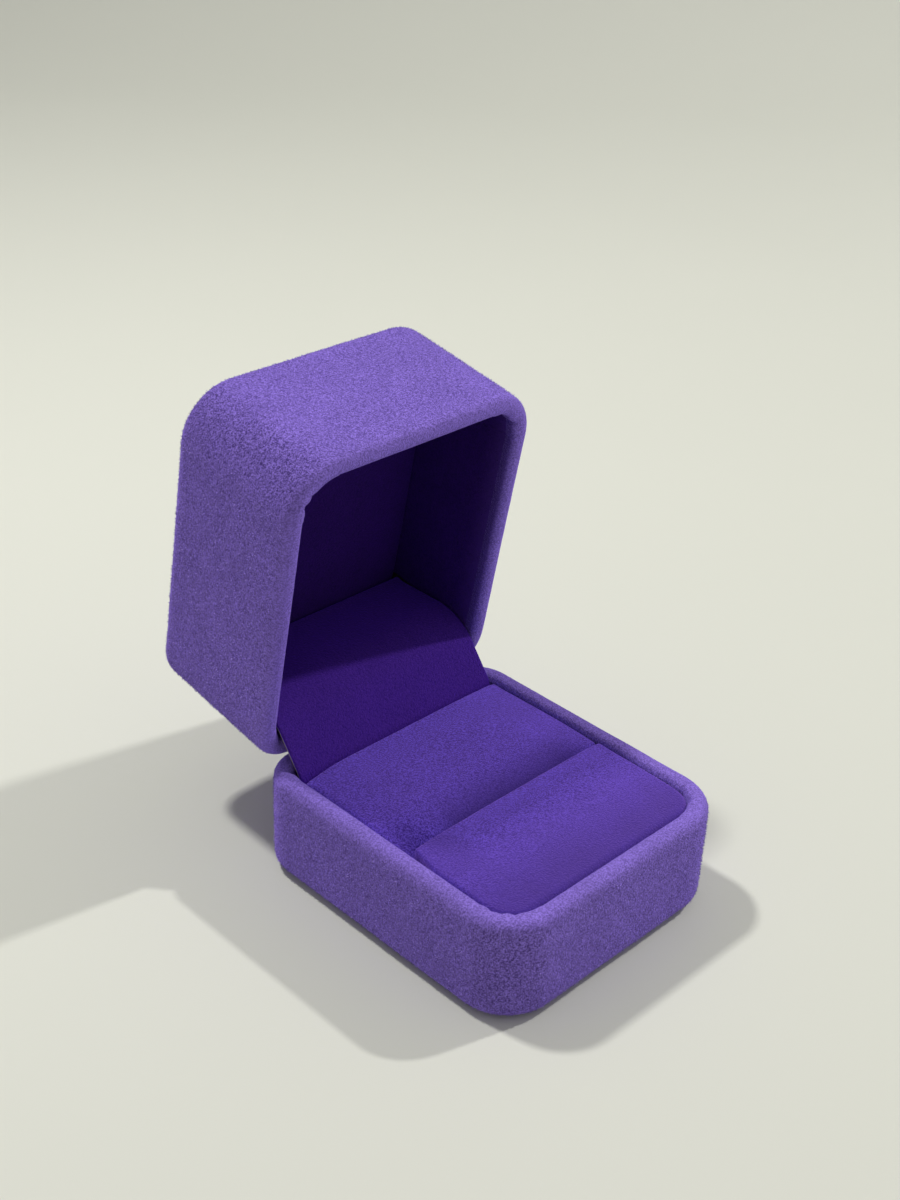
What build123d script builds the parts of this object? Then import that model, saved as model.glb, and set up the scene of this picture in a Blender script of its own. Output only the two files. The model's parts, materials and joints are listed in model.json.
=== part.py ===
"""A velvet ring box with a hinged lid, modelled open as it stands in use.

Millimetres. X runs across the box, Y from the front to the hinge, Z up. The origin is the
centre of the base's plan, on the surface that the box stands on. The lid is drawn shut and
then turned open about the hinge pin.
"""
from build123d import *
import os
from math import cos, radians, sin, tan

# The outside of the shut box
box_width = 55.0
box_depth = 62.0
base_height = 20.4
lid_height = 29.3
front_corner = 9.9
back_corner = 7.7
base_edge_round = 2.4
lid_edge_round = 2.6
rim_round = 2.1
rim_inner_round = 1.2
rim_gap = 0.3
open_angle = 80.0

# The moulded shells and the velvet drawn over them
shell_wall = 2.2
shell_floor = 1.6
velvet = 0.7
turn_down = 9.0
turn_under = 7.0
least_round = 0.2

# The card under the base
underside_card = 0.5
underside_inset = 2.6

# The ring pads: a card tray, then two padded boards with the ring slot between them
tray_card = 1.0
pad_board = 1.2
pad_clearance = 0.3
pad_drop = 0.2
pad_edge_round = 2.2
pad_slot_edge = 0.5
pad_crown = 0.7
front_pad_depth = 23.3
slot_gap = 0.4
slot_dip = 3.6
slot_roll = 11.0
rear_pad_back_drop = 0.7
hinge_room = 4.5

# The lid's lining
lid_board = 1.0
lid_foam = 3.8
lid_pad_edge_round = 1.0
lid_pad_clearance = 0.3

# The hinge
hinge_inset = 1.1
pin_radius = 0.5
pin_play = 0.03
pin_head_radius = 0.8
pin_head_length = 0.4
knuckle_count = 3
leaf_sheet = 0.35
leaf_drop = 9.0
knuckle_length = 7.4
knuckle_gap = 0.2
hinge_clearance = 0.25
rivet_radius = 0.7
rivet_head_radius = 1.3
rivet_head = 0.4
rivet_depth = 1.5
rivet_play = 0.02
spring_width = 5.0
spring_sheet = 0.25
spring_drop = 7.4
spring_gap = 0.1

# The flap that hides the hinge: a card with velvet glued on the side that shows
flap_card = 0.4
flap_side_gap = 0.5
flap_gap = 0.4
flap_slope = 52.5
flap_rise = 10.4
flap_lower_bend = 4.0
flap_upper_bend = 12.5
flap_tuck = 8.6
flap_end_gap = 0.2

# Sizes that follow from these
half_depth = box_depth / 2
wall = shell_wall + 2 * velvet
shell_inside = velvet + shell_wall
cavity_floor = velvet + shell_floor
hinge_y = half_depth - hinge_inset
hinge_z = base_height + rim_gap / 2
hinge_axis = Axis((0, hinge_y, hinge_z), (1, 0, 0))
knuckle_bore = pin_radius + pin_play
knuckle_radius = knuckle_bore + leaf_sheet
leaf_face = half_depth - shell_inside
hinge_length = knuckle_count * (knuckle_length + knuckle_gap) - knuckle_gap
tray_floor = underside_card + cavity_floor
pad_floor = tray_floor + tray_card
pad_top = base_height - pad_drop
pad_back = half_depth - wall - hinge_room
slot_front = wall + pad_clearance + front_pad_depth - half_depth
slot_back = slot_front + slot_gap
lid_top = base_height + rim_gap + lid_height
flap_width = box_width - 2 * (wall + flap_side_gap)


def plan(inset):
    """The box's outline seen from above, drawn in by the inset."""
    outline = Rectangle(box_width - 2 * inset, box_depth - 2 * inset)
    back = outline.vertices().group_by(Axis.Y)[-1]
    outline = fillet(back, max(back_corner - inset, least_round))
    front = outline.vertices().group_by(Axis.Y)[0]
    return fillet(front, max(front_corner - inset, least_round))


def block(inset, low, high):
    """The box's outline as a solid between two heights."""
    return Pos(0, 0, low) * extrude(plan(inset), amount=high - low)


def slab(x_size, y_low, y_high, z_low, z_high):
    """A plain block centred on X."""
    middle = Pos(0, (y_low + y_high) / 2, (z_low + z_high) / 2)
    return middle * Box(x_size, y_high - y_low, z_high - z_low)


def rounded_block(inset, low, high, edge_round, rim):
    """A half of the box as a full block: its closed end at the bottom, its rim at the top."""
    solid = block(inset, low, high)
    solid = fillet(solid.edges().group_by(Axis.Z)[-1], max(rim - inset, least_round))
    return fillet(solid.edges().group_by(Axis.Z)[0], max(edge_round - inset, least_round))


def round_rim_inside(solid, radius):
    """Rounds the inner edge of a tub's rim."""
    top = solid.faces().sort_by(Axis.Z)[-1]
    inner = [edge for wire in top.inner_wires() for edge in wire.edges()]
    return fillet(inner, radius)


def half_box(height, edge_round, covered_end):
    """One half of the box standing on its closed end: its shell and its velvet.

    Both are cut back at the rim for the hinge barrel, and inside for the hinge leaf.
    """
    rim_room = height + rim_gap / 2 - knuckle_radius - hinge_clearance
    barrel_room = slab(hinge_length + 2 * pin_head_length + 2 * hinge_clearance,
                       leaf_face - velvet, half_depth + velvet, rim_room, height + velvet)
    leaf_room = slab(hinge_length + 2 * hinge_clearance, leaf_face - 2 * velvet, leaf_face,
                     height - leaf_drop - hinge_clearance, height + velvet)

    shell = rounded_block(velvet, velvet, height - velvet, edge_round, rim_round)
    shell -= block(shell_inside, cavity_floor, height)
    shell = round_rim_inside(shell, least_round)

    cover = rounded_block(0, 0, height, edge_round, rim_round)
    cover -= block(wall, cavity_floor, height)
    cover = round_rim_inside(cover, rim_inner_round)
    cover -= shell
    cover -= block(shell_inside, cavity_floor, height - turn_down)
    if not covered_end:
        cover -= block(turn_under, -velvet, 2 * velvet)
    return shell - barrel_room, cover - barrel_room - leaf_room


def as_lid(shape):
    """Turns a half that stands on its closed end over, onto the shut base."""
    return Pos(0, 0, lid_top) * mirror(shape, about=Plane.XY)


def opened(shape):
    """Turns a piece of the shut lid to where it stands open."""
    return shape.rotate(hinge_axis, -open_angle)


def knuckle_spans(first):
    """The X range of every second hinge knuckle, from the one with that number at the left."""
    left = -hinge_length / 2
    pitch = knuckle_length + knuckle_gap
    return [(left + i * pitch, left + i * pitch + knuckle_length)
            for i in range(first, knuckle_count, 2)]


def rivet_places(with_spring):
    """Where the rivets go, as X and the distance from the rim."""
    side = hinge_length / 2 - 2 * rivet_head_radius
    places = [(-side, leaf_drop / 2), (side, leaf_drop / 2)]
    if with_spring:
        places.append((0, leaf_drop - 2 * rivet_head_radius))
    return places


def along_y(x, z, radius, y_low, y_high):
    """A round bar that runs along Y."""
    return Pos(x, (y_low + y_high) / 2, z) * Rot(90, 0, 0) * Cylinder(radius, y_high - y_low)


def along_x(y, z, radius, x_low, x_high):
    """A round bar that runs along X."""
    return Pos((x_low + x_high) / 2, y, z) * Rot(0, 90, 0) * Cylinder(radius, x_high - x_low)


def hinge_leaf(first_knuckle, holes):
    """A leaf of the hinge on the base: a flat plate whose tongues curl round the pin."""
    plate_top = hinge_z - knuckle_radius
    leaf = slab(hinge_length, leaf_face - leaf_sheet, leaf_face,
                base_height - leaf_drop, plate_top)
    for x_low, x_high in knuckle_spans(first_knuckle):
        tongue = Pos((x_low + x_high) / 2, 0, 0) * slab(
            x_high - x_low, leaf_face - leaf_sheet, hinge_y, plate_top, plate_top + leaf_sheet)
        leaf += tongue + along_x(hinge_y, hinge_z, knuckle_radius, x_low, x_high)
    leaf -= along_x(hinge_y, hinge_z, knuckle_bore, -hinge_length, hinge_length)
    for x, drop in holes:
        leaf -= along_y(x, base_height - drop, rivet_radius + rivet_play,
                        leaf_face - 2 * leaf_sheet, leaf_face + leaf_sheet)
    return leaf


def rivet(x, drop, thickness):
    """A rivet from the inside, through what is that thick, into the shell."""
    face = leaf_face - thickness
    head = along_y(x, base_height - drop, rivet_head_radius, face - rivet_head, face)
    return head + along_y(x, base_height - drop, rivet_radius, face, leaf_face + rivet_depth)


def drilled(shell, holes):
    """A shell in the shut box with the blind holes for its rivets."""
    for x, drop in holes:
        shell -= along_y(x, base_height - drop, rivet_radius + rivet_play,
                         leaf_face - leaf_sheet, leaf_face + rivet_depth + rivet_play)
    return shell


def over_the_hinge(shape):
    """Mirrors a piece of the base's hinge to the lid's side of the pin, lid shut."""
    return mirror(shape, about=Plane.XY.offset(hinge_z))


def front_pad_form(skin):
    """The front pad, drawn in by the skin: crowned from side to side, with a crisp back edge."""
    half = box_width / 2 - wall - pad_clearance
    top = pad_top - skin
    crown_radius = (half**2 + pad_crown**2) / (2 * pad_crown)
    form = block(wall + pad_clearance + skin, pad_floor, base_height)
    form &= along_y(0, top - crown_radius, crown_radius, -box_depth, slot_front - skin)
    tops = form.faces().sort_by(Axis.Z)[-1].edges()
    back = tops.sort_by(Axis.Y)[-1]
    form = fillet(tops - [back], max(pad_edge_round - skin, least_round))
    edge = form.faces().sort_by(Axis.Z)[-1].edges().sort_by(Axis.Y)[-1]
    return fillet(edge, max(pad_slot_edge - skin, least_round))


def rear_pad_form(skin):
    """The rear pad, drawn in by the skin: its top rolls down towards the ring slot."""
    top = pad_top - skin
    front, back = slot_back + skin, pad_back - skin
    crest = (front + slot_roll, top)
    low = (front, top - slot_dip)
    tail = (back, top - rear_pad_back_drop)
    roll = TangentArc(crest, low, tangent=(-1, 0))
    rest = TangentArc(crest, tail, tangent=(1, 0))
    rail = Polyline(low, (front, pad_floor), (back, pad_floor), tail)
    section = Plane.YZ * make_face(roll + rest + rail)
    form = extrude(section, amount=box_width / 2, both=True)
    form &= block(wall + pad_clearance + skin, pad_floor, base_height)
    upper = [edge for edge in form.edges()
             if edge.center().Z > low[1] and abs(edge.center().X) > box_width / 4]
    return fillet(upper, max(pad_edge_round - skin, least_round))


def padded(form, low, board):
    """A board, the foam on it and the velvet drawn over both, from a pad's form."""
    filling = form(velvet)
    split = low + board
    under = slab(2 * box_width, -box_depth, box_depth, low - board, split)
    return filling & under, filling - under, form(0) - filling


def lid_pad_form(skin):
    """The padded board in the lid's closed end, drawn in by the skin."""
    high = cavity_floor + lid_board + lid_foam + velvet - skin
    form = block(shell_inside + lid_pad_clearance + velvet + skin, cavity_floor, high)
    return fillet(form.edges().group_by(Axis.Z)[-1], max(lid_pad_edge_round - skin, least_round))


def flap_corners():
    """The corners of the flap's upper side, from its tucked end to the lid's lining."""
    y = pad_back + flap_gap
    knee = pad_top - rear_pad_back_drop
    ridge = hinge_z + flap_rise
    turn = y + (ridge - knee) / tan(radians(flap_slope))
    depth = lid_height - cavity_floor - lid_board - lid_foam - velvet + rim_gap / 2
    reach = (depth - flap_end_gap - (ridge - hinge_z) * cos(radians(open_angle)))
    end = hinge_y + reach / sin(radians(open_angle))
    return [(y, knee - flap_tuck), (y, knee), (turn, ridge), (end, ridge)]


def flap_layer(near, far):
    """A layer of the flap between two depths under its upper side."""
    path = FilletPolyline(*flap_corners(), radius=[flap_lower_bend, flap_upper_bend])
    outer = path.edges()
    edges = [moved_in(edge, near) for edge in outer] + [moved_in(edge, far) for edge in outer]
    first, last = edges[: len(outer)], edges[len(outer):]
    ends = [Line(first[0] @ 0, last[0] @ 0), Line(first[-1] @ 1, last[-1] @ 1)]
    face = make_face(Curve() + first + last + ends)
    return extrude(Plane.YZ * face, amount=flap_width / 2, both=True)


def moved_in(edge, depth):
    """An edge of the flap's upper side, moved square to itself towards the card."""
    points = []
    for share in (0, 0.5, 1):
        along = edge % share
        points.append(edge @ share + Vector(along.Y, -along.X, 0) * depth)
    if edge.geom_type == GeomType.LINE:
        return Line(points[0], points[2])
    return ThreePointArc(*points)


def spring_form():
    """The flat snap spring: it lies on the leaf and its end bears on the lid's knuckle."""
    back = leaf_face - leaf_sheet
    shoulder = hinge_z - knuckle_radius
    tip_y = hinge_y - knuckle_radius - spring_gap
    outline = Polyline(
        (back, shoulder - spring_drop), (back, shoulder), (tip_y, hinge_z),
        (tip_y - spring_sheet, hinge_z + spring_sheet), (back - spring_sheet, shoulder + spring_sheet),
        (back - spring_sheet, shoulder - spring_drop), close=True)
    strip = extrude(Plane.YZ * make_face(outline), amount=spring_width / 2, both=True)
    for x, drop in rivet_places(True)[-1:]:
        strip -= along_y(x, base_height - drop, rivet_radius + rivet_play,
                         back - 2 * leaf_sheet, leaf_face)
    return strip


def build():
    """Every piece of the box by name."""
    base_holes, lid_holes = rivet_places(True), rivet_places(False)
    stand = Pos(0, 0, underside_card)
    base_shell, base_velvet = half_box(base_height - underside_card, base_edge_round, False)
    lid_shell, lid_velvet = half_box(lid_height, lid_edge_round, True)
    pieces = {
        "base_shell": drilled(stand * base_shell, base_holes),
        "base_velvet": stand * base_velvet,
        "base_underside_card": block(underside_inset, 0, underside_card),
        "pad_tray_card": block(shell_inside + pad_clearance, tray_floor, pad_floor),
    }
    for name, form in (("front_pad", front_pad_form), ("rear_pad", rear_pad_form)):
        board, foam, cover = padded(form, pad_floor, pad_board)
        pieces |= {name + "_board": board, name + "_foam": foam, name + "_velvet": cover}

    pieces["hinge_base_leaf"] = hinge_leaf(0, base_holes)
    pieces["hinge_base_rivets"] = Compound(children=[
        rivet(*base_holes[0], leaf_sheet), rivet(*base_holes[1], leaf_sheet),
        rivet(*base_holes[2], leaf_sheet + spring_sheet)])
    pieces["hinge_spring"] = spring_form()
    reach = hinge_length / 2
    pin = along_x(hinge_y, hinge_z, pin_radius, -reach, reach)
    for side in (-1, 1):
        ends = sorted((side * reach, side * (reach + pin_head_length)))
        pin += along_x(hinge_y, hinge_z, pin_head_radius, *ends)
    pieces["hinge_pin"] = pin

    board, foam, cover = padded(lid_pad_form, cavity_floor, lid_board)
    side_lining = block(shell_inside, cavity_floor, lid_height - turn_down)
    side_lining -= block(wall, cavity_floor, lid_height)
    side_lining -= slab(box_width, pad_back, box_depth, 0, lid_height)
    lid_leaf = over_the_hinge(hinge_leaf(1, lid_holes))
    lid_rivets = [over_the_hinge(rivet(*hole, leaf_sheet)) for hole in lid_holes]
    lid_shell = over_the_hinge(drilled(over_the_hinge(as_lid(lid_shell)), lid_holes))
    for name, shape in {
        "lid_shell": lid_shell,
        "lid_velvet": as_lid(lid_velvet),
        "lid_side_lining": as_lid(side_lining),
        "lid_pad_board": as_lid(board),
        "lid_pad_foam": as_lid(foam),
        "lid_pad_velvet": as_lid(cover),
        "hinge_lid_leaf": lid_leaf,
    }.items():
        pieces[name] = opened(shape)
    pieces["hinge_lid_rivets"] = Compound(children=[opened(shape) for shape in lid_rivets])
    pieces["flap_velvet"] = flap_layer(0, velvet)
    pieces["flap_card"] = flap_layer(velvet, velvet + flap_card)
    return pieces


os.makedirs("parts", exist_ok=True)
for node, piece in build().items():
    export_step(piece, f"parts/{node}.step")
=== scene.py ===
"""The looks of a velvet ring box: its covers, ring pads, hinge flap and lining, on the fixed frame."""
import json
import math
import random

import bmesh
import bpy
from mathutils import Matrix, Vector


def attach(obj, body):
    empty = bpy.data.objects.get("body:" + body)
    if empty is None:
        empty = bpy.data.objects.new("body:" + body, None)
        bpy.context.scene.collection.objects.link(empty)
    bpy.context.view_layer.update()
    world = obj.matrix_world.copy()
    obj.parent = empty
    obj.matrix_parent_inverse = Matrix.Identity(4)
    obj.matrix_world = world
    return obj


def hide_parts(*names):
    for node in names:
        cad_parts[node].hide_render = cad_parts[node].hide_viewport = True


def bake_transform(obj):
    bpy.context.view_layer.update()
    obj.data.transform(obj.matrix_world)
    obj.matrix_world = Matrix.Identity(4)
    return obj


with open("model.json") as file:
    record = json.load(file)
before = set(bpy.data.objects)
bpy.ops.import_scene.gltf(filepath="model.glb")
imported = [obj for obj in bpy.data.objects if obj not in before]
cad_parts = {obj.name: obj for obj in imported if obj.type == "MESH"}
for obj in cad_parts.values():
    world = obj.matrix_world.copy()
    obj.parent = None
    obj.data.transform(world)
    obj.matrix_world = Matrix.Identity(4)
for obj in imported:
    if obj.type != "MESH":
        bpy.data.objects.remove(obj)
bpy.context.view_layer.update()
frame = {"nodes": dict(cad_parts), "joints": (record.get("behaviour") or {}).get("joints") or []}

bl_info = {
    "name": "Velvet Ring Box",
    "version": (1, 0, 0),
    "blender": (4, 5, 0),
    "location": "3D Viewport > Sidebar > Ring Box",
    "description": "Builds the velvet, pads, flap and fittings of a hinged ring box",
    "category": "Object",
}

MM = 0.001
HINGE_JOINT = next(joint for joint in frame["joints"] if joint["name"] == "lid_hinge")
HINGE = Vector(HINGE_JOINT["pos_m"])
OPEN_ANGLE = math.radians(HINGE_JOINT["range_deg"][1])
TO_SHUT = (Matrix.Translation(HINGE) @ Matrix.Rotation(OPEN_ANGLE, 4, "X")
           @ Matrix.Translation(-HINGE))
TO_OPEN = TO_SHUT.inverted()


def reach_of(node, turn=Matrix.Identity(4)):
    """The lowest and highest corner of a CAD node, turned first where that is asked."""
    points = [turn @ vertex.co for vertex in frame["nodes"][node].data.vertices]
    low = Vector(min(p[i] for p in points) for i in range(3))
    high = Vector(max(p[i] for p in points) for i in range(3))
    return low, high


BASE_LOW, BASE_HIGH = reach_of("base_velvet")
LID_LOW, LID_HIGH = reach_of("lid_velvet", TO_SHUT)
LID_PAD_LOW, LID_PAD_HIGH = reach_of("lid_pad_velvet", TO_SHUT)
FRONT_LOW, FRONT_HIGH = reach_of("front_pad_velvet")
REAR_LOW, REAR_HIGH = reach_of("rear_pad_velvet")
FLAP_LOW, FLAP_HIGH = reach_of("flap_velvet")
LID_TURN = TO_OPEN @ Matrix.Translation((0, 0, LID_HIGH.z)) @ Matrix.Rotation(math.pi, 4, "Y")
LINING_LOW, LINING_HIGH = reach_of("lid_side_lining", TO_SHUT)
PIN_LOW, PIN_HIGH = reach_of("hinge_pin")


# ---------------------------------------------------------------- sizes and colours

def length(name, description, default):
    """A length property, given in metres."""
    return bpy.props.FloatProperty(name=name, description=description, default=default,
                                   min=0.0, unit="LENGTH", precision=5)


def colour(name, description, default):
    """A colour property, in linear values."""
    return bpy.props.FloatVectorProperty(name=name, description=description, default=default,
                                         size=3, min=0.0, max=1.0, subtype="COLOR")


class CoverSizes(bpy.types.PropertyGroup):
    """The velvet drawn over the two halves of the box."""
    width: length("Width", "The box from side to side", BASE_HIGH.x - BASE_LOW.x)
    depth: length("Depth", "The box from front to back", BASE_HIGH.y - BASE_LOW.y)
    base_height: length("Base Height", "The base's velvet, top to bottom", BASE_HIGH.z - BASE_LOW.z)
    lid_height: length("Lid Height", "The lid's velvet, top to bottom", LID_HIGH.z - LID_LOW.z)
    front_corner: length("Front Corner", "Radius of the two front corners", 9.9 * MM)
    back_corner: length("Back Corner", "Radius of the two hinge-side corners", 7.7 * MM)
    base_edge: length("Base Edge", "Radius of the base's lower edge", 2.4 * MM)
    lid_edge: length("Lid Edge", "Radius of the lid's closed edge", 2.6 * MM)
    rim_outer: length("Rim Outside", "Radius of the rim's outer side", 1.8 * MM)
    rim_inner: length("Rim Inside", "Radius of the rim's inner side", 1.2 * MM)
    wall: length("Wall", "The wall with both layers of velvet", 3.6 * MM)
    velvet: length("Velvet", "Thickness of the velvet", 0.68 * MM)
    turn_down: length("Turn Down", "How far the velvet goes down inside the rim", 9.0 * MM)
    turn_under: length("Turn Under", "How far the velvet goes in under the base", 6.9 * MM)
    spacing: length("Spacing", "Distance between the mesh's points round the box", 0.62 * MM)
    hinge_dip: length("Hinge Dip", "How far the rim is pressed down under the hinge", 1.15 * MM)
    pleat_depth: length("Pleat Depth", "Depth of the gathers inside the rim's corners", 0.42 * MM)


class PadSizes(bpy.types.PropertyGroup):
    """The two ring pads and the lid's padded board."""
    edge: length("Edge", "Radius of a pad's edge beside the rim", 0.9 * MM)
    front_edge: length("Front Edge", "Radius of the front pad's front edge", 1.3 * MM)
    crisp: length("Crisp Edge", "Radius of an edge at the slot or the flap", 0.4 * MM)
    crown: length("Crown", "How far a pad's middle stands above its sides", 0.4 * MM)
    fill_out: length("Fill Out", "How far a pad swells past its board at each side", 0.18 * MM)
    corner: length("Corner", "Radius of the front pad's front corners", 5.2 * MM)
    small_corner: length("Small Corner", "Radius of a pad's square corners", 0.6 * MM)
    draw_in: length("Draw In", "How far a pad's sides pull in half way down", 0.3 * MM)
    slot_dip: length("Slot Dip", "How far the rear pad falls towards the slot", 3.9 * MM)
    slot_roll: length("Slot Roll", "How long the rear pad's roll to the slot is", 9.0 * MM)
    stand_in: length("Stand In", "How far the front pad's left end stands in at the slot", 1.4 * MM)
    back_drop: length("Back Drop", "How far the rear pad's back edge lies below its crest", 0.35 * MM)
    lid_edge: length("Lid Pad Edge", "Radius of the lid pad's edge", 1.0 * MM)


class PileSizes(bpy.types.PropertyGroup):
    """The upright fibres of the velvet."""
    tall: length("Tall", "Length of a fibre tuft on the box's covers", 0.40 * MM)
    wide: length("Wide", "Radius of a fibre tuft at its root", 0.080 * MM)
    density: bpy.props.FloatProperty(name="Density", description="Tufts on a square millimetre",
                                     default=4.4, min=0.0)
    lean: bpy.props.FloatProperty(name="Lean", description="How far the tufts lean where brushed",
                                  default=0.5, min=0.0)


class FlapSizes(bpy.types.PropertyGroup):
    """The velvet flap that hides the hinge."""
    velvet: length("Velvet", "Thickness of the flap's velvet", 0.66 * MM)
    card: length("Card", "Thickness of the flap's card", 0.4 * MM)
    tuck: length("Tuck", "How far the flap goes down behind the rear pad", 8.6 * MM)
    lower_bend: length("Lower Bend", "Radius where the flap leaves the pad", 4.0 * MM)
    upper_bend: length("Upper Bend", "Radius where the flap levels out", 12.5 * MM)
    slope: bpy.props.FloatProperty(name="Slope", description="Angle of the flap's straight run",
                                   default=math.radians(52.5), subtype="ANGLE")


class Finishes(bpy.types.PropertyGroup):
    """The colours of the fabrics and fittings."""
    cover: colour("Cover", "Outer velvet", (0.300, 0.200, 0.750))
    cover_deep: colour("Cover Shade", "Outer velvet between its fibres", (0.026, 0.009, 0.100))
    tips: colour("Tips", "Tips of the outer velvet's fibres", (0.520, 0.385, 1.000))
    pad: colour("Pad", "Velvet of the ring pads", (0.170, 0.093, 0.775))
    pad_deep: colour("Pad Shade", "Pad velvet between its fibres", (0.031, 0.009, 0.226))
    # Painted shade: the deeper colour that the pads take at the slot's roll, across the front pad's
    # front and at their left ends.
    pad_painted_shade: colour("Pad Nap", "Pad velvet where its pile leans away", (0.030, 0.012, 0.170))
    flap: colour("Flap", "Velvet of the flap", (0.064, 0.018, 0.240))
    flap_deep: colour("Flap Shade", "Flap velvet between its fibres", (0.030, 0.006, 0.150))
    lining: colour("Lining", "Velvet inside the lid", (0.040, 0.0075, 0.172))
    # Painted highlight: the lid's lining velvet made paler just inside the rim, where it catches
    # light.
    lining_painted_highlight: colour("Lining Edge", "Lid velvet that catches light beside the rim",
                        (0.095, 0.040, 0.300))
    lining_deep: colour("Lining Shade", "Lid velvet between its fibres", (0.020, 0.0036, 0.100))
    card: colour("Card", "Plain card", (0.480, 0.420, 0.350))
    under: colour("Underside", "Card under the base", (0.150, 0.075, 0.065))
    plastic: colour("Shell", "Moulded shells", (0.035, 0.034, 0.040))


class StageSizes(bpy.types.PropertyGroup):
    """The floor, the backdrop and the lamps."""
    floor: colour("Floor", "Colour of the floor", (0.690, 0.702, 0.640))
    size: length("Floor Size", "Side of the square floor", 3.0)
    key_power: bpy.props.FloatProperty(name="Key Power", description="Lamp at the right, in watts",
                                       default=7.0, min=0.0)
    back_power: bpy.props.FloatProperty(name="Back Power", description="Lamp behind, in watts",
                                        default=1.85, min=0.0)
    sky: bpy.props.FloatProperty(name="Sky", description="Strength of the even light",
                                 default=0.33, min=0.0)
    lens: bpy.props.FloatProperty(name="Lens", description="Focal length in millimetres",
                                  default=50.372, min=1.0)


# ---------------------------------------------------------------- small tools

def link_object(name, mesh):
    """A new object at the origin that holds the mesh."""
    made = bpy.data.objects.new(name, mesh)
    bpy.context.scene.collection.objects.link(made)
    return made


def settle(obj):
    """Turns an object and its modifiers into a plain mesh."""
    bpy.context.view_layer.update()
    depsgraph = bpy.context.evaluated_depsgraph_get()
    mesh = bpy.data.meshes.new_from_object(obj.evaluated_get(depsgraph), depsgraph=depsgraph)
    old = obj.data
    obj.modifiers.clear()
    obj.data = mesh
    mesh.name = obj.name
    bpy.data.meshes.remove(old)
    return obj


def smooth(obj, sharp=50):
    """Shades the mesh smooth, apart from edges that turn by more than sharp degrees."""
    obj.data.polygons.foreach_set("use_smooth", [True] * len(obj.data.polygons))
    obj.data.set_sharp_from_angle(angle=math.radians(sharp))
    obj.data.update()


def with_mesh(obj, change):
    """Runs a change on the object's mesh as a bmesh and writes it back."""
    work = bmesh.new()
    work.from_mesh(obj.data)
    change(work)
    work.to_mesh(obj.data)
    work.free()
    obj.data.update()
    return obj


def face_out(obj):
    """Merges doubled points and turns every face outwards."""
    def change(work):
        bmesh.ops.remove_doubles(work, verts=work.verts, dist=0.002 * MM)
        bmesh.ops.recalc_face_normals(work, faces=work.faces)
    return with_mesh(obj, change)


def ease(value):
    """A smooth step from 0 to 1."""
    t = min(max(value, 0.0), 1.0)
    return t * t * (3 - 2 * t)


class Tree:
    """A geometry node tree with named inputs, which ends in realised instances and a material."""

    def __init__(self, name, inputs):
        self.tree = bpy.data.node_groups.new(name, "GeometryNodeTree")
        face = self.tree.interface
        face.new_socket("Geometry", in_out="INPUT", socket_type="NodeSocketGeometry")
        face.new_socket("Geometry", in_out="OUTPUT", socket_type="NodeSocketGeometry")
        for label, kind in inputs:
            face.new_socket(label, in_out="INPUT", socket_type=kind)
        face.new_socket("Material", in_out="INPUT", socket_type="NodeSocketMaterial")
        self.inlet = self.tree.nodes.new("NodeGroupInput")
        self.outlet = self.tree.nodes.new("NodeGroupOutput")

    def node(self, kind, settings=None, **sockets):
        """A node with its settings and its inputs, by socket name or by number as _0, _1."""
        made = self.tree.nodes.new(kind)
        for key, value in (settings or {}).items():
            setattr(made, key, value)
        for key, value in sockets.items():
            name = key.replace("_", " ")
            socket = made.inputs[int(key[1:])] if key[0] == "_" else made.inputs[name]
            self.feed(socket, value)
        return made

    def feed(self, socket, value):
        """Links a socket, or sets its value."""
        if isinstance(value, bpy.types.NodeSocket):
            self.tree.links.new(value, socket)
        elif isinstance(value, bpy.types.Node):
            self.tree.links.new(value.outputs[0], socket)
        else:
            socket.default_value = value

    def given(self, label):
        """The tree's input of that name."""
        return self.inlet.outputs[label]

    def end(self, geometry):
        """Closes the tree."""
        real = self.node("GeometryNodeRealizeInstances", Geometry=geometry)
        painted = self.node("GeometryNodeSetMaterial", Geometry=real,
                            Material=self.given("Material"))
        self.tree.links.new(painted.outputs[0], self.outlet.inputs[0])
        return self.tree


def run_tree(obj, tree, values):
    """Puts a tree on an object, sets its inputs by identifier and applies it."""
    modifier = obj.modifiers.new(tree.name, "NODES")
    modifier.node_group = tree
    for item in tree.interface.items_tree:
        if item.in_out == "INPUT" and item.name in values:
            modifier[item.identifier] = values[item.name]
    return settle(obj)


# ---------------------------------------------------------------- materials

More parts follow.
